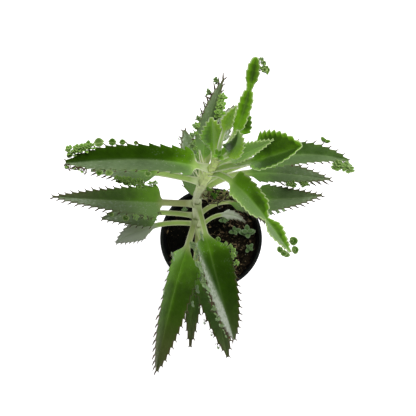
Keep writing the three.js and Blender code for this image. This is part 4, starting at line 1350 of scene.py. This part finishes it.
def plantlet_models():
    """Plantlets about one millimetre across that stand off the margin along +Z, with +Y up: a pair
    of half-round leaves, a round leaf over a smaller one, a sprig of pairs, a tight cluster, a tuft
    of dried roots and a bunch of small round leaves."""
    up = (0, 1, 0)
    models = [Sprig() for _ in range(6)]
    pair, disc, sprig, cluster, tuft, bunch = models

    heart = np.array((0, 0.1, 0.4))
    pair.tube([(0, -0.05, -0.2), (0, -0.04, 0.05), (0, 0, 0.2), heart], [0.08, 0.07, 0.06, 0.05], 1)
    pair.leaflet(heart - (0, 0, 0.01), (0, 0.12, 1), up, 0.6, 1.1, 0.2, cup=0.1, blunt=0.4, sides=12)
    pair.leaflet(heart + (0, 0, 0.01), (0, 0.2, -1), up, 0.42, 1.0, 0.2, cup=0.1, blunt=0.4, sides=12)

    disc.tube([(0, 0, -0.2), (0, 0, 0), (0.03, 0.03, 0.15), (0.03, 0.05, 0.3)], [0.06, 0.05, 0.05, 0.05], 1)
    disc.leaflet((0, 0.06, 0.12), (0, 0.1, 1), up, 1.05, 1.15, 0.22, cup=0.12, blunt=0.8, steps=9, sides=14)
    disc.leaflet((0, 0.2, 0.2), (0.15, 0.25, 0.9), up, 0.42, 0.5, 0.14, cup=0.1)

    heart = np.array((0, 0.12, 0.4))
    sprig.tube([(0, -0.04, -0.15), (0, 0, 0.1), heart, (0.02, 0.2, 0.55)], [0.055, 0.045, 0.045, 0.03], 1)
    for along, length, width in (
            ((0.85, 0.15, 0.5), 0.62, 0.42), ((-0.75, 0.2, 0.65), 0.6, 0.4), ((0.25, 0.4, 0.9), 0.4, 0.28),
            ((-0.3, 0.6, 0.4), 0.32, 0.22)):
        sprig.leaflet(heart, along, up, length, width, 0.13, cup=0.1)

    chooser = random.Random(5)
    cluster.tube([(0, -0.1, -0.2), (0, 0, 0.1), (0, 0.1, 0.3)], [0.08, 0.07, 0.05], 1)
    facing = np.array((0, 0.7, 0.7))
    aslant = np.array((0, -0.7, 0.7))
    for i in range(17):
        angle = 1.2 + 2.4 * i + mix(-0.3, 0.3, chooser.random())
        size = mix(0.46, 0.26, i / 16)
        along = np.array((math.cos(angle), 0, 0)) + aslant * math.sin(angle) + facing * mix(0.1, 1.8, i / 16)
        base = np.array((0, 0.05, 0.3)) + facing * 0.035 * i + along * mix(0.14, 0.02, i / 16)
        cluster.leaflet(base, along, facing, size, size * 0.75, 0.13, cup=0.12, steps=6, sides=6,
                        blunt=0.8)

    for i in range(4):
        turn = 1.57 * i + mix(-0.4, 0.4, chooser.random())
        place, path = np.array((0, 0, -0.1)), []
        for step in range(8):
            path.append(place)
            place = place + 0.13 * np.array((
                math.sin(turn + step * 0.7), 0.5 * math.cos(turn * 2 + step * 0.9), 0.9 - 0.12 * step))
        tuft.tube(path, [mix(0.045, 0.02, step / 7) for step in range(8)], 1, sides=5)
    tuft.leaflet((0, 0.05, 0.35), (0.5, 0.4, 0.6), up, 0.36, 0.26, 0.1, cup=0.1, steps=6, sides=6)

    path = [(0, -0.04, -0.15), (0, 0, 0.2), (0.03, 0.05, 0.5), (0, 0.1, 0.8)]
    bunch.tube(path, [0.05, 0.04, 0.03, 0.02], 1)
    for i in range(10):
        angle = 2.4 * i + mix(-0.4, 0.4, chooser.random())
        base = np.array((0, 0.02 + 0.08 * i / 9, mix(0.18, 0.78, i / 9)))
        along = np.array((math.cos(angle), 0.3 + 0.4 * math.sin(angle) ** 2, 0.5 + 0.3 * math.sin(angle)))
        size = mix(0.44, 0.32, chooser.random())
        bunch.leaflet(base, along, up, size, size * 0.74, 0.13, cup=0.1, steps=7, sides=8, blunt=0.8)
    return [model.make(f"plantlet_model_{i}", deep=depth)
            for i, (model, depth) in enumerate(zip(models, PLANTLET_DEPTHS))]


# The tangle of plantlet roots that is lodged on a petiole, the roots in the air and the growing tip

def tangle_sprigs(settings):
    """Curly roots wound round the petiole of leaf_13 by the stem, with a few round leaves, and thin
    pale roots that grow from the stem into the air."""
    chooser = random.Random(settings.seed + 3)
    line = LeafLine(next(row for row in LEAVES if row["name"] == TANGLE_ON))
    sprigs = []
    for i in range(settings.roots):
        start = mix(TANGLE_FROM, TANGLE_TO, chooser.random())
        place, along, right, up = line.at(start)
        aside = right * mix(-1, 1, chooser.random())
        heading = aside * 1.4 + along * mix(-0.6, 0.6, chooser.random())
        heading = heading + up * mix(0.1, 0.8, chooser.random())
        heading /= np.linalg.norm(heading)
        spin = up * mix(-0.5, 0.5, chooser.random()) + along * mix(-0.3, 0.3, chooser.random())
        path = [place + up * 0.6]
        for step in range(TANGLE_STEPS):
            heading = heading + np.cross(spin, heading) - 0.12 * (path[-1] - place - up * 1.5) / TANGLE_REACH
            heading /= np.linalg.norm(heading)
            path.append(path[-1] + heading * mix(1.1, 1.6, chooser.random()))
        sprig = Sprig()
        thick = mix(0.4, 0.75, chooser.random())
        sprig.tube(path, [thick * mix(1, 0.5, step / TANGLE_STEPS) for step in range(len(path))], 1)
        sprigs.append(sprig)
        if i % LEAFY_EVERY == 0:
            size = mix(2.8, 4, chooser.random())
            leafy = Sprig()
            for turn in (0, 2.2):
                along = (math.cos(i + turn), math.sin(i + turn), 0.25)
                leafy.leaflet(path[9], along, (0, 0, 1), size, size * 0.8, 0.8, cup=0.12)
            sprigs.append(leafy)
    for height, compass, climb, length in AIR_ROOTS:
        place, turn, slope = stem_middle(height), math.radians(compass), math.radians(climb)
        path = []
        for step in range(AIR_ROOT_STEPS):
            path.append(place)
            slope -= 0.09
            turn += mix(-0.14, 0.14, chooser.random())
            place = place + pointing(turn, slope) * length / (AIR_ROOT_STEPS - 1)
        sprig = Sprig()
        sprig.tube(path, np.linspace(0.55, 0.3, AIR_ROOT_STEPS), 1)
        sprig.rim = [1] * len(sprig.points)
        sprigs.append(sprig)
    return sprigs


def root_material(settings):
    made = Material("Dried roots")
    shade = made.attribute("shade")
    grain = made.noise(1.1, 3)
    woody = made.step(shade * 0.7 + grain * 0.5, 0.35, 0.95)
    woody = made.blend(woody, settings.root, ROOT_PALE)
    woody = made.blend(made.attribute("rim"), woody, ROOT_FRESH)
    leafy = made.blend(shade, TANGLE_DARK, TANGLE_PALE)
    return made.finish(
        Base_Color=made.blend(made.attribute("stalk"), leafy, woody), Roughness=0.7,
        Normal=made.bump(grain, 0.4, 0.3))


def growing_tip():
    """The youngest leaves, in crossed pairs round the top of the stem."""
    sprig = Sprig()
    top = stem_middle(STEM_LINE[-1][2] - 2)
    for i in range(TIP_LEAVES):
        share = i / (TIP_LEAVES - 1)
        turn = math.radians(35 + 90 * i + 180 * (i % 2))
        along = np.array((math.cos(turn), math.sin(turn), mix(0.5, 1.6, share)))
        length = mix(9, 5, share)
        sprig.leaflet(top + (0, 0, 0.3 * i), along, (0, 0, 1), length, length * 0.5, 0.9, cup=0.15,
                      steps=9, sides=10, blunt=0.8)
    return sprig


# The seedlings

def seedling_surface(x, y, tall, length, pairs, turn):
    """A seedling: a short shoot with crossed pairs of round leaves that get smaller upwards."""
    chooser = random.Random(turn)
    ground = soil_height(x, y)
    sprig = Sprig()
    heights = [ground - SHOOT_DEPTH, ground - 2, ground + tall * 0.5, ground + tall]
    sprig.tube([(x, y, z) for z in heights], [SHOOT_RADIUS, SHOOT_RADIUS, 0.75, 0.6], 1, sides=10)
    start = math.radians(turn)
    for pair in range(pairs):
        share = (pair + 1) / pairs
        grown = length * mix(1, 0.6, share)
        for opposite in (0, math.pi):
            angle = start + pair * math.pi / 2 + opposite
            along = np.array((math.cos(angle), math.sin(angle), LEAFLET_RISE))
            base = np.array((x, y, ground + tall * share - 0.9))
            sprig.leaflet(base, along, (0, 0, 1), grown, grown * mix(0.66, 0.74, chooser.random()), 1.3,
                          cup=0.1, steps=14, sides=16, blunt=0.75)
    return sprig


# The stage

def lay_floor(settings):
    corners = [(x * FLOOR_HALF, y * FLOOR_HALF, 0) for x, y in ((-1, -1), (1, -1), (1, 1), (-1, 1))]
    floor = make_object("floor", corners, [(0, 1, 2, 3)])
    made = Material("Pale floor")
    floor.data.materials.append(made.finish(
        Base_Color=settings.floor, Roughness=0.9, Specular_IOR_Level=0.0,
        Emission_Color=settings.floor, Emission_Strength=settings.glow))


def studio_world(settings):
    """Even light from all round, and for mirrored light a backdrop behind the plant."""
    world = bpy.data.worlds.new("Studio")
    world.use_nodes = True
    nodes = Nodes(world.node_tree)
    x, y, z = nodes.parts(nodes.add("ShaderNodeTexCoord", output=0))
    behind = nodes.step(x * BACKDROP_TOWARDS[0] + y * BACKDROP_TOWARDS[1], -0.5, 0.8)
    low = nodes.step(z, 0.85, 0.15)
    round_about = behind * (settings.backdrop - settings.horizon) + settings.horizon
    mirrored = low * (round_about - settings.zenith) + settings.zenith
    glossy = nodes.add("ShaderNodeLightPath", output=3)
    light = glossy * (mirrored - settings.fill) + settings.fill
    nodes.put(world.node_tree.nodes["Background"].inputs["Strength"], light)
    return world


def hang_light(settings):
    """A soft light from above that isn't mirrored, so that it doesn't veil the leaves."""
    lamp = bpy.data.lights.new("Overhead light", "AREA")
    lamp.shape = "DISK"
    lamp.size = LAMP_WIDTH
    lamp.energy = settings.overhead
    overhead = link_object("Overhead light", lamp)
    overhead.location = LAMP_PLACE
    aim = Vector(LAMP_AIM) - overhead.location
    overhead.rotation_euler = aim.to_track_quat("-Z", "Y").to_euler()
    overhead.visible_glossy = False
    overhead.visible_camera = False


def photo_camera(settings):
    view = bpy.data.cameras.new("Photo view")
    view.sensor_width = FILM_WIDTH
    view.lens = settings.focal_px / PICTURE_WIDTH * FILM_WIDTH
    view.clip_start = NEAREST
    camera = link_object("Photo view", view)
    camera.location = settings.camera
    camera.rotation_euler = (math.pi / 2 - settings.elevation, 0, 0)
    return camera


# Operators

class KALANCHOE_OT_pot(bpy.types.Operator):
    """Turns the moulded pot with its rolled rim and cuts its drain holes"""

    bl_idname = "kalanchoe.pot"
    bl_label = "Make pot"

    def execute(self, context):
        settings = context.scene.kalanchoe_pot
        pot = lathe("nursery_pot", pot_profile(), settings.sides)
        holes = Sprig()
        for i in range(DRAIN_COUNT):
            angle = (i + 0.5) * 2 * math.pi / DRAIN_COUNT
            x, y = DRAIN_RING * math.cos(angle), DRAIN_RING * math.sin(angle)
            holes.tube([(x, y, -3), (x, y, 0), (x, y, 3), (x, y, 6)], [DRAIN_RADIUS] * 4, 1, sides=32)
        cutter = holes.make("drain_cutter")
        cut = pot.modifiers.new("Drain holes", "BOOLEAN")
        cut.object = cutter
        cut.solver = "EXACT"
        finished_mesh(pot)
        discard(cutter)
        pot.data.materials.clear()
        pot.data.materials.append(pot_material(settings))
        settle(pot, "pot", "pot")
        return {"FINISHED"}


class KALANCHOE_OT_soil(bpy.types.Operator):
    """Fills the pot with potting mix and scatters crumbs, bark and perlite on it"""

    bl_idname = "kalanchoe.soil"
    bl_label = "Make soil"

    def execute(self, context):
        settings = context.scene.kalanchoe_soil
        points, faces, attributes = soil_surface()
        soil = make_object("potting_mix", points, faces, attributes)
        soil.data.materials.append(soil_material(settings))
        kinds = (
            ("crumb", (1, 0.8, 0.7), settings.crumbs, 0.6, 2.6, math.pi,
             bit_material("Soil crumb", settings.damp, CRUMB_PALE, 0.8)),
            ("bark", (2.2, 0.8, 0.3), settings.barks, 0.7, 2.6, 0.4,
             bit_material("Bark bit", BARK_DARK, settings.bark, 0.75)),
            ("perlite", (1, 0.9, 0.8), settings.perlites, 1.2, 2.6, math.pi,
             bit_material("Perlite bit", PERLITE_DARK, settings.perlite, 0.85)),
        )
        tree = scatter_tree()
        models = []
        for number, (name, stretch, density, smallest, largest, tilt, material) in enumerate(kinds):
            model = crumb(f"{name}_model", settings.seed + number, stretch)
            models.append(model)
            grow(soil, tree, {
                "Bit": model, "Density": density, "Smallest": smallest, "Largest": largest,
                "Tilt": tilt, "Seed": settings.seed + 10 * number, "Bit material": material,
            })
        finished_mesh(soil)
        discard(*models)
        settle(soil, "soil", "soil")
        return {"FINISHED"}


class KALANCHOE_OT_stem(bpy.types.Operator):
    """Grows the ribbed stem with its leaf scars"""

    bl_idname = "kalanchoe.stem"
    bl_label = "Make stem"

    def execute(self, context):
        settings = context.scene.kalanchoe_stem
        middles, radii, scars = stem_line_points()
        mesh = bpy.data.meshes.new("main_stem")
        edges = [(i, i + 1) for i in range(len(middles) - 1)]
        mesh.from_pydata([tuple(middle) for middle in middles * MM], edges, [])
        for name, values in (("thickness", radii * MM), ("scar", scars)):
            mesh.attributes.new(name, "FLOAT", "POINT").data.foreach_set(
                "value", values.astype(np.float32))
        stem = link_object("main_stem", mesh)
        grow(stem, ribbed_stem_tree(), {
            "Sides": settings.sides, "Ribs": settings.ribs, "Rib depth": settings.depth,
            "Material": stem_material(settings),
        })
        finished_mesh(stem)
        settle(stem, "stem", "stem")
        return {"FINISHED"}


class KALANCHOE_OT_leaves(bpy.types.Operator):
    """Grows every leaf with its petiole, teeth, spurs and plantlets"""

    bl_idname = "kalanchoe.leaves"
    bl_label = "Make leaves"

    def execute(self, context):
        settings = context.scene.kalanchoe_leaf
        plantlets = context.scene.kalanchoe_plantlet
        ages = {
            "young_leaf": leaf_material("Young leaf", settings, -0.04),
            "mature_leaf": leaf_material("Grown leaf", settings, 0),
            "old_leaf": leaf_material("Old leaf", settings, 0.06),
        }
        tree = margin_growth_tree()
        spur = spur_model()
        models = plantlet_models()
        kinds = bpy.data.collections.new("plantlet_models")
        for model in models:
            kinds.objects.link(model)
        values = {
            "Spur": spur, "Plantlets": kinds, "Unevenness": UNEVENNESS,
            "Spur material": spur_material(settings), "Plantlet material": plantlet_material(
                "Plantlet", plantlets.green, plantlets.heart, plantlets.stalk),
        }
        for number, row in enumerate(LEAVES):
            blade = make_object(row["name"] + "_blade", *leaf_surface(row, settings, number + 1))
            age = leaf_age(number)
            grow(blade, tree, {
                **values, "Blade material": ages[age], "Seed": plantlets.seed + 100 * number})
            finished_mesh(blade)
            settle(blade, age, row["name"])
        discard(spur, *models)
        bpy.data.collections.remove(kinds)
        return {"FINISHED"}


class KALANCHOE_OT_tangle(bpy.types.Operator):
    """Winds dried roots round one petiole, and grows the roots in the air and the growing tip"""

    bl_idname = "kalanchoe.tangle"
    bl_label = "Make root tangle"

    def execute(self, context):
        settings = context.scene.kalanchoe_plantlet
        whole, shades = Sprig(), []
        chooser = random.Random(settings.seed)
        for sprig in tangle_sprigs(settings):
            whole.gather(sprig.points, sprig.faces, sprig.stalk, sprig.rim)
            shades += [chooser.random()] * len(sprig.points)
        tangle = make_object("root_tangle", whole.points, whole.faces, {
            "stalk": whole.stalk, "shade": shades, "rim": whole.rim})
        tangle.data.materials.append(root_material(settings))
        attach(tangle, ROOT)

        bud = growing_tip().make("growing_tip", shade=0.5, wan=0, deep=0.1)
        bud.data.materials.append(plantlet_material(
            "Growing tip", settings.green, settings.heart, settings.heart))
        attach(bud, ROOT)
        return {"FINISHED"}


class KALANCHOE_OT_seedlings(bpy.types.Operator):
    """Plants the seedlings that grew from fallen plantlets"""

    bl_idname = "kalanchoe.seedlings"
    bl_label = "Make seedlings"

    def execute(self, context):
        settings = context.scene.kalanchoe_plantlet
        material = plantlet_material("Seedling", settings.seedling, SEEDLING_RIM, SEEDLING_SHOOT)
        for name, sizes in SEEDLINGS.items():
            seedling = seedling_surface(*sizes).make(name + "_plant", shade=0.4)
            seedling.data.materials.append(material)
            settle(seedling, "seedling", name)
        return {"FINISHED"}


class KALANCHOE_OT_stage(bpy.types.Operator):
    """Sets the pale floor, the light and the camera"""

    bl_idname = "kalanchoe.stage"
    bl_label = "Set stage"

    def execute(self, context):
        settings = context.scene.kalanchoe_stage
        lay_floor(settings)
        context.scene.world = studio_world(settings)
        hang_light(settings)
        context.scene.camera = photo_camera(settings)
        context.scene.view_settings.view_transform = "Standard"
        return {"FINISHED"}


OPERATORS = (
    KALANCHOE_OT_pot, KALANCHOE_OT_soil, KALANCHOE_OT_stem, KALANCHOE_OT_leaves,
    KALANCHOE_OT_tangle, KALANCHOE_OT_seedlings, KALANCHOE_OT_stage,
)


class KALANCHOE_PT_panel(bpy.types.Panel):
    """Lists the plant's settings and the operators that make it"""

    bl_label = "Potted kalanchoe"
    bl_idname = "KALANCHOE_PT_panel"
    bl_space_type = "VIEW_3D"
    bl_region_type = "UI"
    bl_category = "Kalanchoe"

    def draw(self, context):
        for name, group in SETTINGS.items():
            box = self.layout.box()
            box.label(text=name.replace("kalanchoe_", "").capitalize())
            for key in group.__annotations__:
                box.prop(getattr(context.scene, name), key)
        for operator in OPERATORS:
            self.layout.operator(operator.bl_idname)


def register():
    for item in (*SETTINGS.values(), *OPERATORS, KALANCHOE_PT_panel):
        bpy.utils.register_class(item)
    for name, group in SETTINGS.items():
        setattr(bpy.types.Scene, name, bpy.props.PointerProperty(type=group))


def unregister():
    for name in SETTINGS:
        delattr(bpy.types.Scene, name)
    for item in reversed((*SETTINGS.values(), *OPERATORS, KALANCHOE_PT_panel)):
        bpy.utils.unregister_class(item)


def main():
    register()
    bpy.ops.kalanchoe.pot()
    bpy.ops.kalanchoe.soil()
    bpy.ops.kalanchoe.stem()
    bpy.ops.kalanchoe.leaves()
    bpy.ops.kalanchoe.tangle()
    bpy.ops.kalanchoe.seedlings()
    bpy.ops.kalanchoe.stage()


if __name__ == "__main__":
    main()
